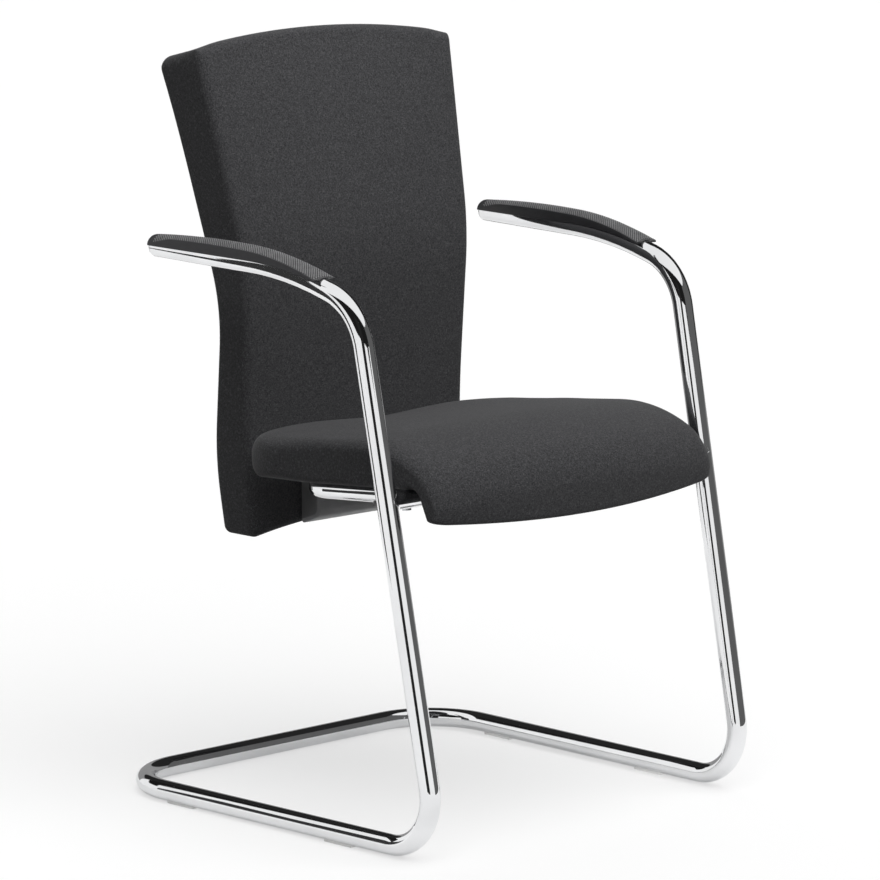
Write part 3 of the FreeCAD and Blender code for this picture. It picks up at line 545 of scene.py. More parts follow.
@dataclass
class BentTube:
    """A round tube bent along straight runs with tangent arcs at the inner points."""

    points: list[Vector]
    radii: list[float]
    radius: float
    around: int = 40
    turn_step: float = 3.0
    least_steps: int = 6

    def build(self, bm: Shape) -> tuple[Ring, Ring]:
        """Draw the tube's wall by extruding its runs and spinning its bends.

        Args:
            bm: The bmesh to add to.

        Returns:
            The vertices of the first and of the last ring.
        """
        start = self.points[0]
        ahead = (self.points[1] - start).normalized()
        place = Matrix.Translation(start) @ Z_AXIS.rotation_difference(ahead).to_matrix().to_4x4()
        first, edges = self.ring(bm, self.radius, place)
        at = start
        for index, bend in enumerate(self.radii, start=1):
            corner = self.points[index]
            back = (self.points[index - 1] - corner).normalized()
            onward = (self.points[index + 1] - corner).normalized()
            half = back.angle(onward) / 2.0
            enter = corner + back * (bend / math.tan(half))
            edges, _ = self.run(bm, edges, enter - at)
            centre = corner + (back + onward).normalized() * (bend / math.sin(half))
            turn = math.pi - 2.0 * half
            steps = max(self.least_steps, round(math.degrees(turn) / self.turn_step))
            spun = bmesh.ops.spin(bm, geom=edges, cent=centre, axis=onward.cross(-back).normalized() * -1.0,
                                  angle=turn, steps=steps, use_duplicate=False)
            edges = ring_edges(spun["geom_last"])
            at = corner + onward * (bend / math.tan(half))
        _, last = self.run(bm, edges, self.points[-1] - at)
        return first, last

    @classmethod
    def ring(cls, bm: Shape, radius: float, place: Matrix) -> tuple[Ring, Edges]:
        """Draw a first ring.

        Args:
            bm: The bmesh to add to.
            radius: The ring's radius.
            place: Where the ring stands, square to the Z axis.

        Returns:
            The ring's vertices and edges.
        """
        verts = bmesh.ops.create_circle(bm, segments=cls.around, radius=radius, matrix=place)["verts"]
        known = set(verts)
        return verts, [edge for edge in bm.edges if known.issuperset(edge.verts)]

    @staticmethod
    def run(bm: Shape, edges: Edges, step: Vector) -> tuple[Edges, Ring]:
        """Extrude a ring along a straight run.

        Args:
            bm: The bmesh to add to.
            edges: The ring's edges.
            step: The run's vector.

        Returns:
            The new ring's edges and vertices.
        """
        grown = bmesh.ops.extrude_edge_only(bm, edges=edges)["geom"]
        verts = ring_verts(grown)
        bmesh.ops.translate(bm, verts=verts, vec=step)
        known = set(verts)
        return [edge for edge in ring_edges(grown) if known.issuperset(edge.verts)], verts


def ease(share: float) -> float:
    """A smooth step from 0 to 1."""
    share = min(max(share, 0.0), 1.0)
    return share * share * (3.0 - 2.0 * share)


def dome_ball(rim: float, rise: float) -> float:
    """The radius of the ball that a dome with this rim and rise is cut from."""
    return (rim ** 2 + rise ** 2) / (2.0 * rise)


def close_ring(bm: Shape, verts: Ring) -> None:
    """Close a tube's open end with one face."""
    bmesh.ops.contextual_create(bm, geom=verts)


# The bent frame


@dataclass
class SideLoop:
    """One side of the frame in its own plane: runner, leg and arm."""

    side: Side
    depth: float = 582 * MM
    rear_width: float = 560 * MM
    front_width: float = 534 * MM
    splay: float = math.radians(0.44)
    tube_radius: float = 12.5 * MM
    glide_height: float = 1.5 * MM
    foot_bend: float = 65 * MM
    leg_lean: float = math.radians(11.35)
    tip_height: float = 694 * MM
    reach: float = 476 * MM
    rear_slope: float = math.radians(2.1)
    front_slope: float = math.radians(17.5)
    bow_radius: float = 520 * MM
    front_run: float = 2 * MM
    arm_bend: float = 80 * MM
    foot: Vector = field(init=False)
    rear: Vector = field(init=False)
    tip: Vector = field(init=False)
    bow: Vector = field(init=False)
    bend: Vector = field(init=False)
    outward: Vector = field(init=False)

    def __post_init__(self) -> None:
        """Work out the loop's corner points from its sizes."""
        sign = self.side.value
        axis = self.glide_height + self.tube_radius
        foot_reach = self.foot_bend * math.tan((math.pi / 2.0 + self.leg_lean) / 2.0)
        foot_y = -self.depth / 2.0 + self.tube_radius + self.foot_bend - foot_reach
        self.foot = Vector((sign * self.front_width / 2.0, foot_y, axis))
        self.rear = Vector((sign * self.rear_width / 2.0, self.depth / 2.0 - self.tube_radius, axis))
        back = (self.rear - self.foot).normalized()
        level = Vector((back.y, -back.x, 0.0)) * sign
        up = Z_AXIS * math.cos(self.splay) + level * math.sin(self.splay)
        self.outward = level * math.cos(self.splay) - Z_AXIS * math.sin(self.splay)
        turn = math.pi / 2.0 - self.leg_lean - self.front_slope
        run = self.bow_tangent + self.arm_bend * math.tan(turn / 2.0) + self.front_run
        lean, rise = math.tan(self.leg_lean), math.tan(self.rear_slope)
        tip_rise = (self.tip_height - axis) / math.cos(self.splay)
        base = tip_rise - self.reach * rise
        bow_reach = (lean * (base - run * math.sin(self.front_slope)) + run * math.cos(self.front_slope)) / (
            1.0 - lean * rise)
        bow_rise = base + bow_reach * rise
        self.tip = self.foot + back * self.reach + up * tip_rise
        self.bow = self.foot + back * bow_reach + up * bow_rise
        self.bend = (self.foot + back * (bow_reach - run * math.cos(self.front_slope))
                     + up * (bow_rise - run * math.sin(self.front_slope)))

    @property
    def bow_tangent(self) -> float:
        """The length that the arm's bow takes up on either side of its corner."""
        return self.bow_radius * math.tan((self.front_slope - self.rear_slope) / 2.0)

    @property
    def arm(self) -> Vector:
        """The direction of the arm's straight part, forwards."""
        return (self.bow - self.tip).normalized()

    @property
    def arm_up(self) -> Vector:
        """The direction square to the arm's straight part, in the loop's plane."""
        return self.outward.cross(self.arm) * -self.side.value

    @property
    def leg(self) -> Vector:
        """The direction of the leg, upwards."""
        return (self.bend - self.foot).normalized()

    def on_leg(self, height: float) -> Vector:
        """The point of the leg's axis at a height above the floor."""
        return self.foot + self.leg * ((height - self.foot.z) / self.leg.z)

    def along_arm(self, distance: float) -> tuple[Vector, Vector]:
        """A point of the arm's axis at a distance from its tip.

        Args:
            distance: Metres along the axis from the rear tip.

        Returns:
            The point, and the upward direction there.
        """
        straight = self.bow_distance(0.0)
        if distance <= straight:
            return self.tip + self.arm * distance, self.arm_up
        angle = (distance - straight) / self.bow_radius
        up = self.arm_up * math.cos(angle) + self.arm * math.sin(angle)
        return self.tip + self.arm * straight + (up - self.arm_up) * self.bow_radius, up

    def bow_distance(self, angle: float) -> float:
        """The distance from the arm's tip to an angle round its bow, in radians."""
        return (self.bow - self.tip).length - self.bow_tangent + self.bow_radius * angle


@dataclass
class TubeFrame:
    """The chrome tubes: the bent frame, its arm plugs, the cross tube and the seat carrier."""

    finishes: Finishes
    right: SideLoop
    left: SideLoop
    rear_corner: float = 94 * MM
    wall: float = 2.5 * MM
    plug_dome: float = 8.0 * MM
    plug_length: float = 18.0 * MM
    plug_gap: float = 0.2 * MM
    carrier_radius: float = 11 * MM
    carrier_inset: float = 26 * MM
    carrier_length: float = 218 * MM
    carrier_bend: float = 60 * MM
    weld_gap: float = 0.2 * MM
    bead_reach: float = 3.0 * MM
    bead_flare: float = 2.0 * MM
    bead_middle: Point = (0.4, 0.3)

    def build(self, seat: "SeatFrame") -> None:
        """Make every tube.

        Args:
            seat: The seat's own frame, which the carrier lies in.
        """
        self.build_frame()
        for loop in (self.right, self.left):
            self.build_plug(loop)
        self.build_cross_tube(seat)
        self.build_carrier(seat)

    def build_frame(self) -> None:
        """Bend the long tube from one arm's tip to the other."""
        right, left = self.right, self.left
        tube = BentTube(
            [right.tip, right.bow, right.bend, right.foot, right.rear,
             left.rear, left.foot, left.bend, left.bow, left.tip],
            [right.bow_radius, right.arm_bend, right.foot_bend, self.rear_corner,
             self.rear_corner, left.foot_bend, left.arm_bend, left.bow_radius],
            right.tube_radius)
        bm = bmesh.new()
        for ring in tube.build(bm):
            close_ring(bm, ring)
        settle(finish_mesh(bm, "frame_tube_bent"), "chrome_tube", self.finishes, ["frame_tube"])

    def build_plug(self, loop: SideLoop) -> None:
        """Turn the domed plug of an arm's rear end.

        Args:
            loop: The side that the plug closes.
        """
        bm = bmesh.new()
        radius = loop.tube_radius
        ball = dome_ball(radius, self.plug_dome)
        sweep = math.asin(radius / ball)
        crown = bm.verts.new((0.0, 0.0, self.plug_dome))
        arc = bmesh.ops.spin(bm, geom=[crown], cent=(0.0, 0.0, self.plug_dome - ball), axis=Y_AXIS,
                             angle=sweep, steps=6, use_duplicate=False)
        rim = ring_verts(arc["geom_last"])[0]
        lip = bm.verts.new((radius - self.wall, 0.0, 0.0))
        shank = bm.verts.new((radius - self.wall - self.plug_gap, 0.0, -self.plug_length))
        bm.edges.new((rim, lip))
        bm.edges.new((lip, shank))
        bmesh.ops.spin(bm, geom=bm.verts[:] + bm.edges[:], cent=(0.0, 0.0, 0.0), axis=Z_AXIS,
                       angle=math.tau, steps=BentTube.around, use_merge=True, use_duplicate=False)
        bmesh.ops.remove_doubles(bm, verts=bm.verts[:], dist=WELD)
        bmesh.ops.holes_fill(bm, edges=[edge for edge in bm.edges if edge.is_boundary], sides=0)
        place = Matrix.Translation(loop.tip) @ Z_AXIS.rotation_difference(-loop.arm).to_matrix().to_4x4()
        bmesh.ops.transform(bm, matrix=place, verts=bm.verts[:])
        settle(finish_mesh(bm, "%s_arm_plug" % loop.side.word), "chrome_tube", self.finishes,
               ["%s_arm_end_plug" % loop.side.word])

    def build_cross_tube(self, seat: "SeatFrame") -> None:
        """Span the legs, with both ends shaped to the legs and flared into weld beads.

        Args:
            seat: The seat's own frame, whose origin is on this tube's axis.
        """
        bm = bmesh.new()
        place = Matrix.Translation(seat.origin) @ Matrix.Rotation(math.pi / 2.0, 4, Y_AXIS)
        first, edges = BentTube.ring(bm, self.carrier_radius, place)
        reach, flare = self.bead_middle
        middle = (self.bead_reach * reach, self.bead_flare * flare)
        bead = ((0.0, self.bead_flare), middle, (self.bead_reach, 0.0))
        stops = [(self.right, *stop) for stop in bead] + [(self.left, *stop) for stop in reversed(bead)]
        rings = [first]
        for _ in stops[1:]:
            edges, verts = BentTube.run(bm, edges, X_AXIS * MM)
            rings.append(verts)
        for ring, (loop, back_off, flare) in zip(rings, stops):
            for vert in ring:
                self.cope(vert, loop, seat.origin, back_off, flare)
        for ring in (rings[0], rings[-1]):
            close_ring(bm, ring)
        settle(finish_mesh(bm, "cross_tube_welded"), "chrome_tube", self.finishes, ["front_cross_tube"])

    def cope(self, vert: bmesh.types.BMVert, loop: SideLoop, middle: Vector,
             back_off: float, flare: float) -> None:
        """Slide a vertex along X to the leg's surface.

        Args:
            vert: The vertex of a ring round the cross tube.
            loop: The side whose leg it meets.
            middle: A point of the cross tube's axis.
            back_off: Distance to stay away from the leg.
            flare: Distance to move out from the cross tube's axis.
        """
        spoke = Vector((0.0, vert.co.y - middle.y, vert.co.z - middle.z)).normalized()
        spot = Vector((0.0, middle.y, middle.z)) + spoke * (self.carrier_radius + flare)
        across = spot - loop.foot
        leg = loop.leg
        flat_x = X_AXIS - leg * X_AXIS.dot(leg)
        flat_gap = across - leg * across.dot(leg)
        a, b = flat_x.length_squared, flat_x.dot(flat_gap)
        c = flat_gap.length_squared - (loop.tube_radius + self.weld_gap) ** 2
        root = math.sqrt(max(b * b - a * c, 0.0))
        sign = -loop.side.value
        spot.x = (-b + sign * root) / a + sign * back_off
        vert.co = spot

    def build_carrier(self, seat: "SeatFrame") -> None:
        """Bend the U behind the cross tube that the seat is screwed to.

        Args:
            seat: The seat's own frame.
        """
        rail = seat.width / 2.0 - self.carrier_inset
        front = self.carrier_radius * 0.6
        points = [(-rail, front), (-rail, self.carrier_length), (rail, self.carrier_length), (rail, front)]
        corners = [Vector((x, y, 0.0)) for x, y in points]
        tube = BentTube(corners, [self.carrier_bend] * 2, self.carrier_radius)
        bm = bmesh.new()
        for ring in tube.build(bm):
            for vert in ring:
                vert.co.y = math.sqrt(max((self.carrier_radius + self.weld_gap) ** 2 - vert.co.z ** 2, 0.0))
            close_ring(bm, ring)
        bmesh.ops.transform(bm, matrix=seat.place, verts=bm.verts[:])
        settle(finish_mesh(bm, "seat_carrier_bent"), "chrome_tube", self.finishes, ["seat_carrier"])


# Arm pads


@dataclass
class ArmPads:
    """Saddle pads on the arms with a knurled top, wider and flatter towards the front."""

    finishes: Finishes
    widths: Triple = (27 * MM, 31 * MM, 36 * MM)
    rises: Triple = (2 * MM, 9.2 * MM, 1.6 * MM)
    skirts: Triple = (2 * MM, 5 * MM, 9 * MM)
    bevel: float = 1.4 * MM
    overhang: float = 6.0 * MM
    front_turn: float = math.radians(14.0)
    end_round: float = 12.0 * MM
    nose: float = 46.0 * MM
    plug_dome: float = TubeFrame.plug_dome
    lap: float = 1.2 * MM
    bed_gap: float = 0.3 * MM
    crowns: Triple = (3 * MM, 5.2 * MM, 2.6 * MM)
    ridge: int = 35
    knurl_step: float = 0.95 * MM
    knurl_depth: float = 0.6 * MM
    lip: float = 3.2 * MM
    lip_rise: float = 0.5 * MM
    lip_profile: tuple[Point, ...] = ((0.85, 1.0), (0.2, 1.0), (0.0, 0.2))
    side_points: int = 5
    bevel_middle: float = 0.29
    crease_inset: float = 0.3 * MM

    def build(self, loop: SideLoop) -> None:
        """Sweep one pad along its arm.

        Args:
            loop: The side that carries the pad.
        """
        length = loop.bow_distance(self.front_turn) + self.overhang
        bm = bmesh.new()
        lattice = bm.verts.layers.float_vector.new(KnurledGrip.lattice)
        places = self.stations(length)
        made = grow_rings(bm, [self.section(loop, row, place, length) for row, place in enumerate(places)])
        for (spot, _), behind, ahead in zip(places, made, made[1:]):
            if spot > self.end_round:
                self.mark_grip(bm, behind, ahead)
        for row, ring in enumerate(made):
            for number, vert in enumerate(ring):
                vert[lattice] = Vector((row, number - self.side_points, 0.0))
        cap_rings(bm, (made[0], made[-1]), cuts=1)
        name = "%s_arm_pad" % loop.side.word
        piece = finish_mesh(bm, name + "_knurled", sharp_angle=30.0)
        settle(piece, "pad_plastic", self.finishes, [name])
        piece.data.materials.append(self.finishes.pad_grip)

    def mark_grip(self, bm: Shape, behind: Ring, ahead: Ring) -> None:
        """Give the top between two sections the knurled finish.

        Args:
            bm: The pad's bmesh.
            behind: The section at the rear.
            ahead: The next section.
        """
        for step in range(self.side_points - 1, self.side_points + self.ridge):
            near = bm.edges.get(behind[step:step + 2]).link_faces
            far = bm.edges.get(ahead[step:step + 2]).link_faces
            for face in set(near) & set(far):
                face.material_index = 1

    @staticmethod
    def pressed(row: int, number: int, lift: float) -> float:
        """1 in the knurl's grooves and 0 on its diamonds and the front lip, by row and point of the top."""
        groove = 0 in ((row + number) % KnurledGrip.pitch, (row - number) % KnurledGrip.pitch)
        return 1.0 if groove and lift == 0.0 else 0.0

    def stations(self, length: float) -> list[Point]:
        """Places of the sections along the pad.

        Args:
            length: The pad's length along the axis.

        Returns:
            Pairs of the distance from the pad's rear end and the height of the front lip there, from 0 to 1.
        """
        places = [(self.end_round * (1.0 - math.cos(math.radians(angle))), 0.0) for angle in range(0, 91, 15)]
        rows = round((length - self.lip - self.end_round) / self.knurl_step)
        places += [(spot, 0.0) for spot in spread(self.end_round, length - self.lip, rows + 1)[1:]]
        return places + [(length - self.lip * back, lift) for back, lift in self.lip_profile]

    def section(self, loop: SideLoop, row: int, place: Point, length: float) -> list[Vector]:
        """The closed outline of the pad at one place.

        Args:
            loop: The side that carries the pad.
            row: The section's number, which sets where the knurl is pressed in.
            place: Distance from the pad's rear end, and the height of the front lip there, from 0 to 1.
            length: The pad's length.

        Returns:
            The outline's points, over the top and back along the tube.
        """
        spot, lift = place
        share = spot / length
        middle = (loop.bow_distance(0.0) + self.overhang) / length
        half = self.through(self.widths, middle, share) / 2.0
        skirt = self.through(self.skirts, middle, share)
        top = loop.tube_radius + self.through(self.rises, middle, share)
        bed = self.bed(loop, spot)
        if spot < self.end_round:
            rise = math.sqrt(1.0 - (1.0 - spot / self.end_round) ** 2)
            top = self.lap + bed + (top - bed - self.lap) * rise
            half = self.lap + bed + (half - bed - self.lap) * rise
        crown = self.through(self.crowns, middle, share)
        eaves = top - crown
        flat = half - self.bevel
        shoulder = eaves - self.bevel
        crease = eaves + self.lip_rise * lift
        eased = self.bevel * self.bevel_middle
        side = [(-half, skirt), (-half, (skirt + shoulder) / 2.0), (-half, shoulder),
                (-half + eased, eaves - eased), (-flat + self.crease_inset, crease)]
        over = [(flat * step, crease + crown * (1.0 - step ** 2)
                 - self.knurl_depth * self.pressed(row, number, lift))
                for number, step in enumerate(spread(-1.0, 1.0, self.ridge + 2)[1:-1])]
        outline = side + over + [(-across, height) for across, height in reversed(side)]
        full = 1.0 - ease(spot / self.nose)
        arch = [(-half * math.cos(angle), skirt + (top - skirt) * math.sin(angle))
                for angle in spread(0.0, math.pi, len(outline))]
        outline = [(x + (round_x - x) * full, z + (round_z - z) * full)
                   for (x, z), (round_x, round_z) in zip(outline, arch)]
        edge = math.asin(skirt / bed)
        outline += [(bed * math.cos(angle), bed * math.sin(angle))
                    for angle in spread(edge, math.pi - edge, len(outline))]
        point, up = loop.along_arm(spot - self.overhang)
        return [point + loop.outward * across + up * height for across, height in outline]

    def bed(self, loop: SideLoop, spot: float) -> float:
        """The radius of the pad's bed: round the tube, and over the dome behind its end.

        Args:
            loop: The side that carries the pad.
            spot: Distance from the pad's rear end.

        Returns:
            The bed's radius there.
        """
        rim = loop.tube_radius
        past = max(self.overhang - spot, 0.0)
        ball = dome_ball(rim, self.plug_dome)
        return math.sqrt(ball ** 2 - (ball - self.plug_dome + past) ** 2) + self.bed_gap

    @staticmethod
    def through(values: Triple, middle: float, share: float) -> float:
        """A smooth run through a value at the rear end, one in the middle and one at the front end."""
        first, second, third = values
        return (first * (share - middle) * (share - 1.0) / middle
                + second * share * (share - 1.0) / (middle * (middle - 1.0))
                + third * share * (share - middle) / (1.0 - middle))


# Upholstery


@dataclass(frozen=True)
class Plumping:
    """How the foam fills a cover: a short cloth simulation with a capped travel."""

    cap: float
    pressure: float = 3.0
    frames: int = 20
    stiffness: float = 18.0
    bending: float = 1.2

    def run(self, piece: Piece, held: Callable[[Vector], bool]) -> None:
        """Swell a closed cover and keep the result in its mesh.

        Args:
            piece: The cover's object.
            held: Tells which points rest on something and stay where they are.
        """
        rest = [vert.co.copy() for vert in piece.data.vertices]
        fixed = piece.vertex_groups.new(name="held")
        fixed.add([index for index, spot in enumerate(rest) if held(spot)], 1.0, "REPLACE")
        cloth = piece.modifiers.new("foam", "CLOTH")
        cloth.settings.quality = 5
        cloth.settings.mass = 0.35
        cloth.settings.tension_stiffness = self.stiffness
        cloth.settings.compression_stiffness = self.stiffness
        cloth.settings.bending_stiffness = self.bending
        cloth.settings.use_pressure = True
        cloth.settings.uniform_pressure_force = self.pressure
        cloth.settings.vertex_group_mass = fixed.name
        cloth.settings.effector_weights.gravity = 0.0
        cloth.collision_settings.use_collision = False
        scene = bpy.context.scene
        for frame in range(1, self.frames + 1):
            scene.frame_set(frame)
        swollen = piece.evaluated_get(bpy.context.evaluated_depsgraph_get()).data
        outward = [vert.normal.copy() for vert in piece.data.vertices]
        swell = [max((vert.co - spot).dot(normal), 0.0)
                 for vert, spot, normal in zip(swollen.vertices, rest, outward)]
        piece.modifiers.remove(cloth)
        piece.vertex_groups.remove(fixed)
        share = min(self.cap / max(max(swell), 1e-9), 1.0)
        LOG.info("%s: foam swells %.1f mm, kept %.1f mm", piece.name,
                 max(swell) / MM, max(swell) * share / MM)
        for vert, spot, normal, rise in zip(piece.data.vertices, rest, outward, swell):
            vert.co = spot + normal * (rise * share)
        scene.frame_set(1)


def grow_rings(bm: Shape, rings: list[list[Vector]]) -> list[Ring]:
    """Skin a stack of closed outlines by extruding the first from one to the next.

    Args:
        bm: The bmesh to add to.
        rings: Closed outlines with equal numbers of points.

    Returns:
        The vertices of each ring, in the outline's order.
    """
    verts = [bm.verts.new(point) for point in rings[0]]
    edges = [bm.edges.new((verts[i - 1], verts[i])) for i in range(len(verts))]
    made = [verts]
    for ring in rings[1:]:
        grown = bmesh.ops.extrude_edge_only(bm, edges=edges)["geom"]
        fresh = set(ring_verts(grown))
        verts = [next(edge.other_vert(old) for edge in old.link_edges if edge.other_vert(old) in fresh)
                 for old in verts]
        for vert, point in zip(verts, ring):
            vert.co = point
        edges = [edge for edge in ring_edges(grown) if edge.verts[0] in fresh and edge.verts[1] in fresh]
        made.append(verts)
    return made


def cap_rings(bm: Shape, rings: Iterable[Ring], cuts: int) -> None:
    """Close outlines whose second half runs back along their first, with grids of quads.

    Args:
        bm: The bmesh to add to.
        rings: The outlines' vertices, an even number in each.
        cuts: Rows to cut between the two halves.
    """
    struts = []
    for verts in rings:
        half = len(verts) // 2
        out, home = verts[:half], verts[half:][::-1]
        sides = [bm.edges.get((a, b)) for chain in (out, home) for a, b in zip(chain, chain[1:])]
        bridged = bmesh.ops.bridge_loops(bm, edges=sides)
        ends = {out[0], out[-1]}
        chain = set(out)
        for edge in bridged["edges"]:
            inner = [vert for vert in edge.verts if vert in chain]
            if len(inner) == 1 and inner[0] not in ends:
                struts.append(edge)
    bmesh.ops.subdivide_edges(bm, edges=struts, cuts=cuts, use_grid_fill=True)


def spread(first: float, last: float, count: int) -> list[float]:
    """Evenly spaced numbers, both ends included."""
    return [first + (last - first) * step / (count - 1) for step in range(count)]


@dataclass
class SeatFrame:
    """The seat's own frame: origin on the cross tube, y back along the carrier, z square to it."""

    right: SideLoop
    height: float = 424.5 * MM
    tilt: float = math.radians(4.0)
    width: float = 480 * MM

    @property
    def origin(self) -> Vector:
        """The middle of the cross tube's axis."""
        return Vector((0.0, self.right.on_leg(self.height).y, self.height))

    @property
    def place(self) -> Matrix:
        """The matrix from the seat's frame to the chair's."""
        return Matrix.Translation(self.origin) @ Matrix.Rotation(-self.tilt, 4, X_AXIS)


@dataclass
class Cushion:
    """What seat and back share: a cloth cover that foam fills."""

    finishes: Finishes
    seat: SeatFrame
    slack: float = 0.5 * MM
    swell: float = 3.0 * MM

    def fit(self, bm: Shape, node: str) -> None:
        """Make the closed cover of a node.

        Args:
            bm: The cover's bmesh, which is freed.
            node: The CAD node that it stands for.
        """
        piece = finish_mesh(bm, node + "_cover", sharp_angle=180.0)
        Plumping(self.swell).run(piece, self.rests)
        soften = piece.modifiers.new("cloth_smooth", "SUBSURF")
        soften.levels = soften.render_levels = 1
        settle(piece, "charcoal_fabric", self.finishes, [node])

    def rests(self, spot: Vector) -> bool:
        """Whether a point of the cover rests on something and stays where it is."""
        raise NotImplementedError


@dataclass
class SeatCushion(Cushion):
    """The upholstered seat: crowned top, waterfall front with a hanging lobe, full round rear corners."""

    rear: float = 318 * MM
    rear_top: float = 60.5 * MM
    front_top: float = 66 * MM
    brow: float = 86 * MM
    brow_radius: float = 200 * MM
    nose_radius: float = 60 * MM
    brow_turn: float = math.radians(30.0)
    front_bow: float = 20 * MM
    crown: float = 8 * MM
    dish: Point = (8 * MM, 150 * MM)
    lobe_drop: float = 29 * MM
    lobe_sag: float = 13 * MM
    lobe_foot: float = 16 * MM
    lobe_slope: float = 15 * MM
    skirt: float = 9 * MM
    corner: float = 76 * MM
    rear_round: float = 28 * MM
    hem_round: float = 18 * MM
    rear_middle: float = 29 * MM
    lobe_round: float = 6 * MM
    notch_round: float = 16 * MM
    side_roll: Point = (15 * MM, 14 * MM)
    rear_roll: Point = (30 * MM, 20 * MM)
    brow_roll: Point = (24 * MM, 12 * MM)
    toe_roll: Point = (22 * MM, 6 * MM)
    hem_roll: Point = (12 * MM, 9 * MM)
    brow_blend: Point = (60 * MM, 150 * MM)
    rear_blend: Point = (150 * MM, 110 * MM)
    toe_blend: Point = (20 * MM, 40 * MM)
    toe_reach: float = 40 * MM
    rest_start: float = -20 * MM
    swell: float = 3.5 * MM
    flat_columns: int = 9
    corner_columns: int = 14

    def build(self) -> None:
        """Skin the side outlines from one side to the other."""
        half = self.seat.width / 2.0
        straight = half - self.corner
        across = spread(0.0, straight, self.flat_columns)[:-1]
        across += [straight + self.corner * math.sin(angle)
                   for angle in spread(0.0, math.pi / 2.0, self.corner_columns)]
        rings = [self.ring(x) for x in across]
        mirrored = [[Vector((-p.x, p.y, p.z)) for p in ring] for ring in reversed(rings[1:])]
        bm = bmesh.new()
        made = grow_rings(bm, mirrored + rings)
        cap_rings(bm, (made[0], made[-1]), cuts=4)
        bmesh.ops.transform(bm, matrix=self.seat.place, verts=bm.verts[:])
        self.fit(bm, "seat_cushion")

    def rests(self, spot: Vector) -> bool:
        """Whether a point lies on the underside, behind the hanging lobe."""
        local = self.seat.place.inverted() @ spot
        return local.z < self.skirt + self.slack and local.y > self.rest_start

    def ring(self, x: float) -> list[Vector]:
        """The closed side outline at a distance from the middle, drawn in where the side edges roll over.

        Args:
            x: Distance from the middle.

        Returns:
            The outline's points in the seat's frame, over the top to the front and back below.
        """
        half = self.seat.width / 2.0
        outline = self.outline(x)
        count = len(outline)
        points = []
        for index, (y, z) in enumerate(outline):
            reach, depth = self.edge_roll(index, count, y, z)
            past = min(max((x - half + reach) / reach, 0.0), 1.0)
            inset = depth * (1.0 - math.sqrt(1.0 - past * past))
            before, after = outline[index - 1], outline[(index + 1) % count]
            along = Vector((after[0] - before[0], after[1] - before[1])).normalized()
            points.append(Vector((x, y - along.y * inset, z + along.x * inset)))
        return points

    def edge_roll(self, index: int, count: int, y: float, z: float) -> Point:
        """How softly the side edge rolls over at a point of the outline.

        Args:
            index: The point's number in the outline.
            count: The outline's number of points.
            y: The point's place behind the cross tube.
            z: The point's height.

        Returns:
            The roll's reach across and its depth into the outline.
        """
        under = index >= count // 2
        front = ease((self.brow + self.brow_blend[0] - y) / self.brow_blend[1])
        behind = ease((y - self.rear + self.rear_blend[0]) / self.rear_blend[1])
        low = ease((self.skirt + self.toe_blend[0] - z) / self.toe_blend[1])
        low *= ease((self.toe_reach - y) / self.toe_reach)
        first, second = (self.hem_roll, self.hem_roll) if under else (self.side_roll, self.brow_roll)
        mixed = [a + (b - a) * front for a, b in zip(first, second)]
        mixed = [a + (b - a) * behind for a, b in zip(mixed, self.rear_roll)]
        return tuple(a + (b - a) * low for a, b in zip(mixed, self.toe_roll))

    def outline(self, x: float) -> list[Point]:
        """The side outline without the rolled edge, over the top from the rear and back below.

        Args:
            x: Distance from the middle.

        Returns:
            Points (y, z) in the seat's frame.
        """
        half = self.seat.width / 2.0
        bow = 1.0 - (x / half) ** 2
        past = max(x - (half - self.corner), 0.0)
        rear = self.rear - self.corner + math.sqrt(max(self.corner ** 2 - past ** 2, 0.0)) - self.slack
        lift = self.crown * bow - self.slack
        fall = math.atan2(self.front_top - self.rear_top, self.rear - self.brow)
        brow_y = self.brow - self.front_bow * bow
        brow_z = self.front_top + lift

        def top_z(y: float) -> float:
            """The height of the flat top behind the brow."""
            behind = ease((y - brow_y) / (self.rear - brow_y))
            sink = self.dish[0] * ease(1.0 - x / self.dish[1]) * behind
            return brow_z - (y - brow_y) * math.tan(fall) - sink

        wall = (rear, self.rear_middle)
        upper = self.corner_arc(wall, (rear, top_z(rear)), (brow_y, brow_z), self.rear_round, 9)
        start = upper[-1]
        upper = [wall] + upper
        upper += [(y, top_z(y)) for y in spread(start[0], brow_y, 16)[1:]]
        centre = (brow_y - self.brow_radius * math.sin(fall), brow_z - self.brow_radius * math.cos(fall))
        upper += self.arc_down(centre, self.brow_radius, -fall, self.brow_turn, 10)[1:]
        turn = upper[-1]
        nose_centre = (turn[0] + self.nose_radius * math.sin(self.brow_turn),
                       turn[1] - self.nose_radius * math.cos(self.brow_turn))
        upper += self.arc_down(nose_centre, self.nose_radius, self.brow_turn, math.pi / 2.0, 9)[1:]
        nose = upper[-1]
        low = -self.lobe_drop - self.lobe_sag * bow
        toe, heel = (nose[0] + self.lobe_foot / 4.0, low), (nose[0] + self.lobe_foot * 1.25, low)
        notch = (heel[0] + self.lobe_slope, self.skirt)
        toe_arc = self.corner_arc(nose, toe, heel, self.lobe_round, 5)
        upper += self.between(nose, toe_arc[0], 3) + toe_arc
        heel_arc = self.corner_arc(toe, heel, notch, self.lobe_round, 5)
        notch_arc = self.corner_arc(heel, notch, (rear, self.skirt), self.notch_round, 6)
        hem_arc = self.corner_arc(notch, (rear, self.skirt), wall, self.hem_round, 7)
        lower = heel_arc + self.between(heel_arc[-1], notch_arc[0], 5) + notch_arc
        rows = len(upper) - len(lower) - len(hem_arc)
        lower += self.between(notch_arc[-1], hem_arc[0], rows + 1) + hem_arc
        return upper + lower

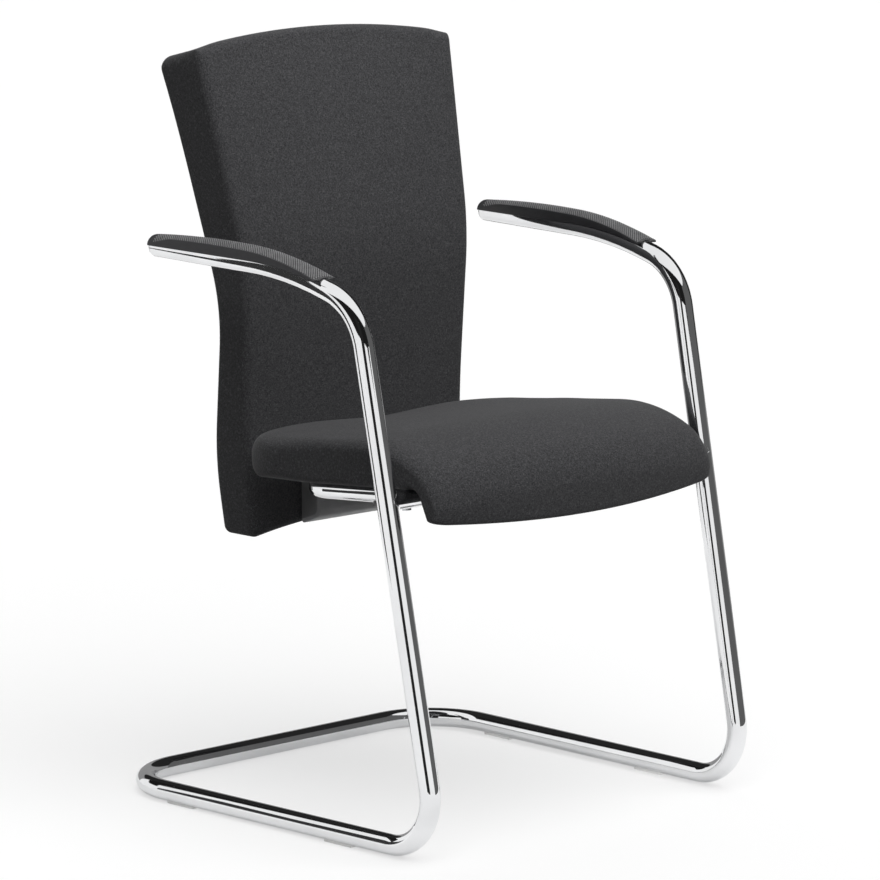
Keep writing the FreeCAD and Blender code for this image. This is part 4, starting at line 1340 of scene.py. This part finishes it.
    @staticmethod
    def between(first: Point, last: Point, parts: int) -> list[Point]:
        """The inner points that cut a straight run into equal parts."""
        return [(first[0] + (last[0] - first[0]) * n / parts, first[1] + (last[1] - first[1]) * n / parts)
                for n in range(1, parts)]

    @staticmethod
    def arc_down(centre: Point, radius: float, first: float, last: float, count: int) -> list[Point]:
        """Points of an arc between two slopes, measured down from level."""
        return [(centre[0] - radius * math.sin(a), centre[1] + radius * math.cos(a))
                for a in spread(first, last, count)]

    @staticmethod
    def corner_arc(before: Point, corner: Point, after: Point, radius: float, count: int) -> list[Point]:
        """Points of the arc that rounds a corner.

        Args:
            before: The point before the corner.
            corner: The corner.
            after: The point after the corner.
            radius: The arc's radius.
            count: Number of points, both tangent points included.

        Returns:
            The arc's points.
        """
        here = Vector(corner)
        back, ahead = (Vector(before) - here).normalized(), (Vector(after) - here).normalized()
        half = back.angle(ahead) / 2.0
        middle = here + (back + ahead).normalized() * (radius / math.sin(half))
        start = here + back * (radius / math.tan(half)) - middle
        end = here + ahead * (radius / math.tan(half)) - middle
        turn = start.angle(end)
        points = []
        for angle in spread(0.0, turn, count):
            spoke = (start * math.sin(turn - angle) + end * math.sin(angle)) / math.sin(turn)
            points.append(tuple(middle + spoke))
        return points


@dataclass
class BackCushion(Cushion):
    """The tall upholstered back: S-shaped in side view, flared towards its arched top."""

    front: float = 331.7 * MM
    depth: float = 61 * MM
    shoulder: float = 438 * MM
    waist: float = 390 * MM
    foot: float = 366 * MM
    bottom: float = 326 * MM
    bottom_arch: float = 14 * MM
    waist_height: float = 660 * MM
    shoulder_height: float = 932 * MM
    arch: float = 17 * MM
    top_fall: float = math.radians(18.0)
    front_swell: Point = (6 * MM, 480 * MM)
    front_hollow: Point = (-1 * MM, 680 * MM)
    front_lean: float = math.radians(13.2)
    rear_swell: Point = (14 * MM, 420 * MM)
    rear_hollow: Point = (-5.5 * MM, 605 * MM)
    rear_lean: float = math.radians(14.3)
    front_edge: float = 12 * MM
    rear_edge: float = 12 * MM
    top_edge: float = 15 * MM
    top_lift: float = 4.5 * MM
    corner_share: Point = (0.25, 1.0)
    corner_drop: float = 4 * MM
    corner_level: float = 0.4
    corner_start: float = 0.84
    bottom_edge: float = 11 * MM
    blend: float = 45 * MM
    least_round: float = 0.6 * MM
    fall_start: float = 0.75
    fall_power: float = 1.5
    held_height: float = 60 * MM
    held_half: float = 80 * MM
    rows: int = 56
    columns: int = 33

    def build(self) -> None:
        """Skin the plan outlines from the bottom to the top."""
        rings = [self.ring(0.0, self.bottom_edge, angle) for angle in range(0, 90, 18)]
        rings += [self.ring(level, 0.0, 90) for level in spread(0.0, 1.0, self.rows + 1)]
        rings += [self.ring(1.0, self.top_edge, angle) for angle in range(75, -1, -15)]
        bm = bmesh.new()
        made = grow_rings(bm, rings)
        cap_rings(bm, (made[0], made[-1]), cuts=5)
        self.fit(bm, "back_cushion")

    def rests(self, spot: Vector) -> bool:
        """Whether a point is held where the bracket enters."""
        return spot.z < self.bottom + self.held_height and abs(spot.x) < self.held_half

    def half_width(self, z: float) -> float:
        """Half the back's width at a height, with the flare's corner eased."""
        low = (self.waist - self.foot) / 2.0 / (self.waist_height - self.bottom)
        high = (self.shoulder - self.waist) / 2.0 / (self.shoulder_height - self.waist_height)
        return self.waist / 2.0 + self.eased(z - self.waist_height, low, high) - self.slack

    def eased(self, past: float, before: float, after: float) -> float:
        """A line that changes slope at 0, with the change spread over a short stretch.

        Args:
            past: Distance past the change.
            before: Slope before it.
            after: Slope after it.

        Returns:
            The line's value.
        """
        bend = self.blend
        if past <= -bend:
            return before * past
        if past >= bend:
            return after * past
        share = (past + bend) ** 2 / (4.0 * bend)
        return before * past + (after - before) * share

    def face_line(self, z: float, swell: Point, hollow: Point, lean: float) -> float:
        """How far the side outline stands behind the foot at a height.

        Args:
            z: Height above the floor.
            swell: Step and height of the lower bulge.
            hollow: Step and height where the lean starts.
            lean: Backward lean above that.

        Returns:
            The distance behind the foot.
        """
        first = swell[0] / (swell[1] - self.bottom)
        second = (hollow[0] - swell[0]) / (hollow[1] - swell[1])
        value = swell[0] + self.eased(z - swell[1], first, second)
        return value + self.eased(z - hollow[1], 0.0, math.tan(lean) - second)

    def faces(self, z: float) -> Point:
        """The front's and the rear's place behind the origin at a height."""
        front = self.seat.origin.y + self.front
        rear = front + self.depth
        return (front + self.face_line(z, self.front_swell, self.front_hollow, self.front_lean) + self.slack,
                rear + self.face_line(z, self.rear_swell, self.rear_hollow, self.rear_lean) - self.slack)

    def ring(self, share: float, edge: float, roll: int) -> list[Vector]:
        """The closed plan outline at a level.

        Args:
            share: Level from the bottom, 0, to the top, 1, between the rolled edges.
            edge: Radius of the rolled edge, 0 between them.
            roll: How far round the edge, in degrees: 90 on the wall, 0 on the end face.

        Returns:
            The outline's points, along the front and back along the rear.
        """
        turn = math.radians(roll)
        inset = edge * (1.0 - math.sin(turn))
        rise = edge * math.cos(turn) * (1.0 if share > 0.5 else -1.0)
        return [self.spot(*place, share, inset, rise) for place in self.plan_places()]

    def plan_places(self) -> list[tuple[float, float, int]]:
        """Places round the plan outline.

        Returns:
            Across from -1 to 1, corner angle in degrees from the front face, and 0 for front or 1 for rear.
        """
        corner = range(0, 91, 18)
        places = []
        for rear, edge in ((0, 1.0), (1, -1.0)):
            places += [(-edge, angle, rear) for angle in reversed(corner)]
            places += [(x, 0.0, rear) for x in spread(-edge, edge, self.columns)[1:-1]]
            places += [(edge, angle, rear) for angle in corner]
        return places

    def spot(self, across: float, angle: float, rear: int, share: float, inset: float, rise: float) -> Vector:
        """One point of the cover.

        Args:
            across: Place across the face, from -1 to 1.
            angle: Degrees round the vertical corner, from the face.
            rear: 0 on the front, 1 on the rear.
            share: Level between the rolled edges.
            inset: How far the outline is drawn in.
            rise: Height above or below that level, round the rolled edge.

        Returns:
            The point in the chair's frame.
        """
        bow = 1.0 - across ** 2
        low = self.bottom + self.bottom_arch * bow + self.bottom_edge + self.slack
        end = ease((abs(across) - self.corner_start) / (1.0 - self.corner_start))
        crest = (self.shoulder_height + self.arch * bow + self.top_lift - self.top_edge - self.slack
                 - self.corner_drop * end)
        z = low + (crest - low) * share
        front, back = self.faces(z)
        crest_front = self.faces(crest)[0]
        radius = max((self.rear_edge if rear else self.front_edge) - inset, self.least_round)
        turn = math.radians(angle)
        half = self.half_width(z) - inset * (self.corner_share[rear] if share > 0.5 else 1.0)
        x = across * (half - radius)
        if abs(across) == 1.0:
            x += math.copysign(radius * math.sin(turn), across)
        wall = back - inset if rear else front + inset
        y = wall + radius * (1.0 - math.cos(turn)) * (-1.0 if rear else 1.0)
        late = max(share - self.fall_start, 0.0) / (1.0 - self.fall_start)
        fall = (y - crest_front) * math.tan(self.top_fall) * late ** self.fall_power
        return Vector((x, y, z + rise - fall * (1.0 - self.corner_level * end)))


# Bracket cover


@dataclass
class BracketCover:
    """The moulded housing between seat and back, open above and behind, with eased edges."""

    finishes: Finishes
    seat: SeatFrame
    width: float = 206 * MM
    front: float = 299 * MM
    back: float = 330.7 * MM
    bottom: float = 337 * MM
    slope: float = math.radians(21.0)
    top: float = 404 * MM
    wall: float = 2.5 * MM
    toe_edge: float = 9 * MM
    side_edge: float = 5 * MM
    facing: float = 0.9
    crisp: float = math.radians(60.0)

    def build(self) -> None:
        """Make the housing as an open shell."""
        front = self.seat.origin.y + self.front
        back = self.seat.origin.y + self.back
        toe = self.bottom + (back - front) * math.tan(self.slope)
        bm = bmesh.new()
        bmesh.ops.create_cube(bm, size=1.0)
        for vert in bm.verts:
            ahead, above = vert.co.y < 0.0, vert.co.z > 0.0
            vert.co.x *= self.width
            vert.co.y = front if ahead else back
            vert.co.z = self.top if above else (toe if ahead else self.bottom)
        open_faces = [face for face in bm.faces if max(face.normal.y, face.normal.z) > self.facing]
        bmesh.ops.delete(bm, geom=open_faces, context="FACES")
        keel = [edge for edge in bm.edges if all(abs(vert.co.y - front) < MM and vert.co.z < toe + MM
                                                 for vert in edge.verts)]
        self.round_edges(bm, keel, self.toe_edge)
        sides = [edge for edge in bm.edges
                 if len(edge.link_faces) == 2 and edge.calc_face_angle() > self.crisp]
        self.round_edges(bm, sides, self.side_edge)
        bmesh.ops.recalc_face_normals(bm, faces=bm.faces[:])
        bmesh.ops.solidify(bm, geom=bm.faces[:], thickness=self.wall)
        shell = finish_mesh(bm, "bracket_cover_shell", sharp_angle=35.0)
        settle(shell, "cover_plastic", self.finishes, ["bracket_cover"])

    @staticmethod
    def round_edges(bm: Shape, edges: Edges, radius: float) -> None:
        """Round edges over as far as the radius reaches from each."""
        bmesh.ops.bevel(bm, geom=edges, offset=radius, offset_type="OFFSET", segments=6, profile=0.5,
                        affect="EDGES", material=-1, clamp_overlap=True)


# Studio


@dataclass(frozen=True)
class Screen:
    """A curved screen round the chair, by its angle from the camera's side, in degrees."""

    name: str
    start: float
    span: float
    tone: float
    low: float = 0.02
    high: float = 1.6
    radius: float = 1.4
    climb: float = 0.0
    steps: int = 24


@dataclass
class Studio:
    """Pale floor, soft light, reflection cards and the camera of the photograph's view."""

    camera_place: Triple = (-3.94603, -4.05735, 1.34804)
    right: Triple = (0.71506, -0.69906, 0.0)
    up: Triple = (0.11026, 0.11278, 0.98748)
    toward: Triple = (-0.69031, -0.70611, 0.15772)
    focal: float = 188.94
    sensor: float = 36.0
    view_end: float = 100.0
    sky: float = 0.10
    floor_reach: float = 30.0
    glow: float = 0.57
    mirror_glow: float = 0.2
    floor_tone: float = 0.96
    floor_bounce: float = 0.16
    sun_power: float = 3.0
    sun_spread: float = math.radians(70.0)
    sun_place: Triple = (-0.35, -1.8, 3.0)
    fill_power: float = 0.9
    fill_place: Triple = (1.5, 1.9, 1.5)
    box_power: float = 0.42
    box_size: float = 0.5
    box_spread: float = math.radians(18.0)
    box_place: Triple = (0.3, -2.3, 1.9)
    box_aim: Triple = (0.0, 0.2, 1.06)
    ceiling: float = 1.9
    ceiling_width: float = 9.0
    ceiling_front: Point = (5.2, 1.10)
    ceiling_rear: Point = (-0.78, -2.4)
    ceiling_tone: float = 0.012
    screens: tuple[Screen, ...] = (
        Screen("screen_card_right", 46.0, 70.0, 0.12),
        Screen("screen_card_left", -17.0, 21.5, 0.02),
        Screen("screen_card_side_low", -90.0, 6.0, 0.04, 0.10, 0.52, 1.2),
        Screen("screen_card_side", -84.0, 13.0, 0.04, 0.10, 0.52, 1.2, 1.4),
        Screen("screen_card_rear", 116.0, 116.0, 0.30, 0.02, 0.50),
        Screen("screen_card_rear_top", 116.0, 116.0, 0.02, 0.50, 1.70),
    )

    def build(self) -> None:
        """Set the stage."""
        bpy.context.scene.view_settings.view_transform = "Standard"
        self.build_camera()
        self.build_world()
        self.build_floor()
        self.build_lamps()
        self.build_cards()

    def build_camera(self) -> None:
        """Stand the camera where the photograph was taken from."""
        camera = bpy.data.cameras.new("camera")
        camera.lens = self.focal
        camera.sensor_width = self.sensor
        camera.clip_end = self.view_end
        holder = bpy.data.objects.new("camera", camera)
        axes = Matrix((self.right, self.up, self.toward)).transposed()
        holder.matrix_world = Matrix.Translation(self.camera_place) @ axes.to_4x4()
        bpy.context.scene.collection.objects.link(holder)
        bpy.context.scene.camera = holder

    def build_world(self) -> None:
        """White all round for the camera and for reflections, dimmer as light."""
        world = bpy.data.worlds.new("studio")
        bpy.context.scene.world = world
        world.use_nodes = True
        pad = NodePad(world.node_tree)
        rays = pad.node("ShaderNodeLightPath").outputs
        seen = rays["Is Camera Ray"]
        for ray in ("Is Glossy Ray", "Is Transmission Ray"):
            seen = pad.math("MAXIMUM", seen, rays[ray])
        background = pad.tree.nodes["Background"]
        background.inputs["Color"].default_value = (1.0, 1.0, 1.0, 1.0)
        pad.join(pad.span(seen, self.sky, 1.0), background.inputs["Strength"])

    def build_floor(self) -> None:
        """A wide pale floor that is white to the camera but keeps a soft shadow."""
        bm = bmesh.new()
        bmesh.ops.create_grid(bm, x_segments=1, y_segments=1, size=self.floor_reach)
        floor = link_mesh(bm, "studio_floor")
        material = bpy.data.materials.new("studio_floor")
        material.use_nodes = True
        pad = NodePad(material.node_tree)
        pad.tree.nodes.clear()
        rays = pad.node("ShaderNodeLightPath").outputs
        matt = pad.node("ShaderNodeBsdfDiffuse")
        pad.join(pad.span(rays["Is Diffuse Ray"], self.floor_tone, self.floor_bounce), matt.inputs["Color"])
        direct = pad.math("ADD", rays["Is Camera Ray"], rays["Is Transmission Ray"])
        glow = pad.node("ShaderNodeEmission")
        mix = pad.node("ShaderNodeMixShader")
        out = pad.node("ShaderNodeOutputMaterial")
        share = pad.blend(direct, rays["Is Glossy Ray"], (self.glow, self.mirror_glow))
        for source, target in zip((share, matt.outputs[0], glow.outputs[0]), mix.inputs):
            pad.join(source, target)
        pad.join(mix.outputs[0], out.inputs["Surface"])
        floor.data.materials.append(material)

    def build_lamps(self) -> None:
        """A broad soft key from high in front, a fill from behind and a soft box for the upper back."""
        for name, power, place in (("key", self.sun_power, self.sun_place),
                                   ("fill", self.fill_power, self.fill_place)):
            sun = bpy.data.lights.new(name, "SUN")
            sun.energy = power
            sun.angle = self.sun_spread
            self.hang(sun, place, (0.0, 0.0, 0.0))
        box = bpy.data.lights.new("soft_box", "AREA")
        box.energy = self.box_power
        box.size = self.box_size
        box.spread = self.box_spread
        self.hang(box, self.box_place, self.box_aim)

    @staticmethod
    def hang(lamp: bpy.types.Light, place: Triple, aim: Triple) -> None:
        """Hang a lamp that reflections don't show.

        Args:
            lamp: The lamp.
            place: Where it hangs.
            aim: What it points at.
        """
        holder = bpy.data.objects.new(lamp.name, lamp)
        turn = (Vector(aim) - Vector(place)).to_track_quat("-Z", "Y")
        holder.matrix_world = Matrix.Translation(place) @ turn.to_matrix().to_4x4()
        holder.visible_glossy = False
        bpy.context.scene.collection.objects.link(holder)

    def build_cards(self) -> None:
        """Cards that only reflections show: a dark ceiling with a slit, and screens round the chair."""
        turn = math.atan2(self.toward[1], self.toward[0])
        for name, (near, far) in (("ceiling_card_front", self.ceiling_front),
                                  ("ceiling_card_rear", self.ceiling_rear)):
            bm = bmesh.new()
            bmesh.ops.create_grid(bm, x_segments=1, y_segments=1, size=0.5)
            stretch = Matrix.Diagonal((near - far, self.ceiling_width, 1.0, 1.0))
            middle = Matrix.Translation(((near + far) / 2.0, 0.0, self.ceiling))
            place = Matrix.Rotation(turn, 4, Z_AXIS) @ middle @ stretch
            bmesh.ops.transform(bm, matrix=place, verts=bm.verts[:])
            self.card(bm, name, self.ceiling_tone)
        for screen in self.screens:
            self.card(self.curved(screen, turn), screen.name, screen.tone)

    @staticmethod
    def curved(screen: Screen, turn: float) -> Shape:
        """Bend a screen round the chair.

        Args:
            screen: The screen's sizes.
            turn: The angle of the camera's side, in radians from X.

        Returns:
            The screen's bmesh.
        """
        bm = bmesh.new()
        start, sweep = turn + math.radians(screen.start), math.radians(screen.span)
        foot = Vector((screen.radius * math.cos(start), screen.radius * math.sin(start), screen.low))
        bm.verts.new(foot)
        bmesh.ops.spin(bm, geom=bm.verts[:], cent=(0.0, 0.0, screen.low), axis=Z_AXIS,
                       angle=sweep, steps=screen.steps, use_duplicate=False)
        brim = ring_verts(bmesh.ops.extrude_edge_only(bm, edges=bm.edges[:])["geom"])
        for vert in brim:
            swing = (vert.co.xy - foot.xy).length / (screen.radius * sweep)
            vert.co.z += screen.high - screen.low + screen.climb * swing
        return bm

    @staticmethod
    def card(bm: Shape, name: str, tone: float) -> None:
        """Hang one card of an even grey.

        Args:
            bm: The card's bmesh, which is freed.
            name: The card's name.
            tone: Its grey.
        """
        pad = FinishPad(name)
        pad.material.cycles.emission_sampling = "NONE"
        pad.set(Base_Color=(0.0, 0.0, 0.0, 1.0), Specular_IOR_Level=0.0,
                Emission_Color=(tone, tone, tone, 1.0), Emission_Strength=1.0)
        holder = link_mesh(bm, name)
        holder.data.materials.append(pad.material)
        holder.visible_camera = holder.visible_diffuse = holder.visible_shadow = False


def main() -> None:
    """Build the chair's looks in order."""
    logging.basicConfig(level=logging.INFO, format="%(name)s: %(message)s")
    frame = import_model()
    finishes = Finishes()
    slots = {part["node"]: part["material_slot"] for part in frame["record"]["subparts"]}
    for node, piece in frame["nodes"].items():
        finishes.dress(piece, slots[node])
    right, left = SideLoop(Side.RIGHT), SideLoop(Side.LEFT)
    seat = SeatFrame(right)
    TubeFrame(finishes, right, left).build(seat)
    pads = ArmPads(finishes)
    pads.build(right)
    pads.build(left)
    SeatCushion(finishes, seat).build()
    BackCushion(finishes, seat).build()
    BracketCover(finishes, seat).build()
    Studio().build()


if __name__ == "__main__":
    main()
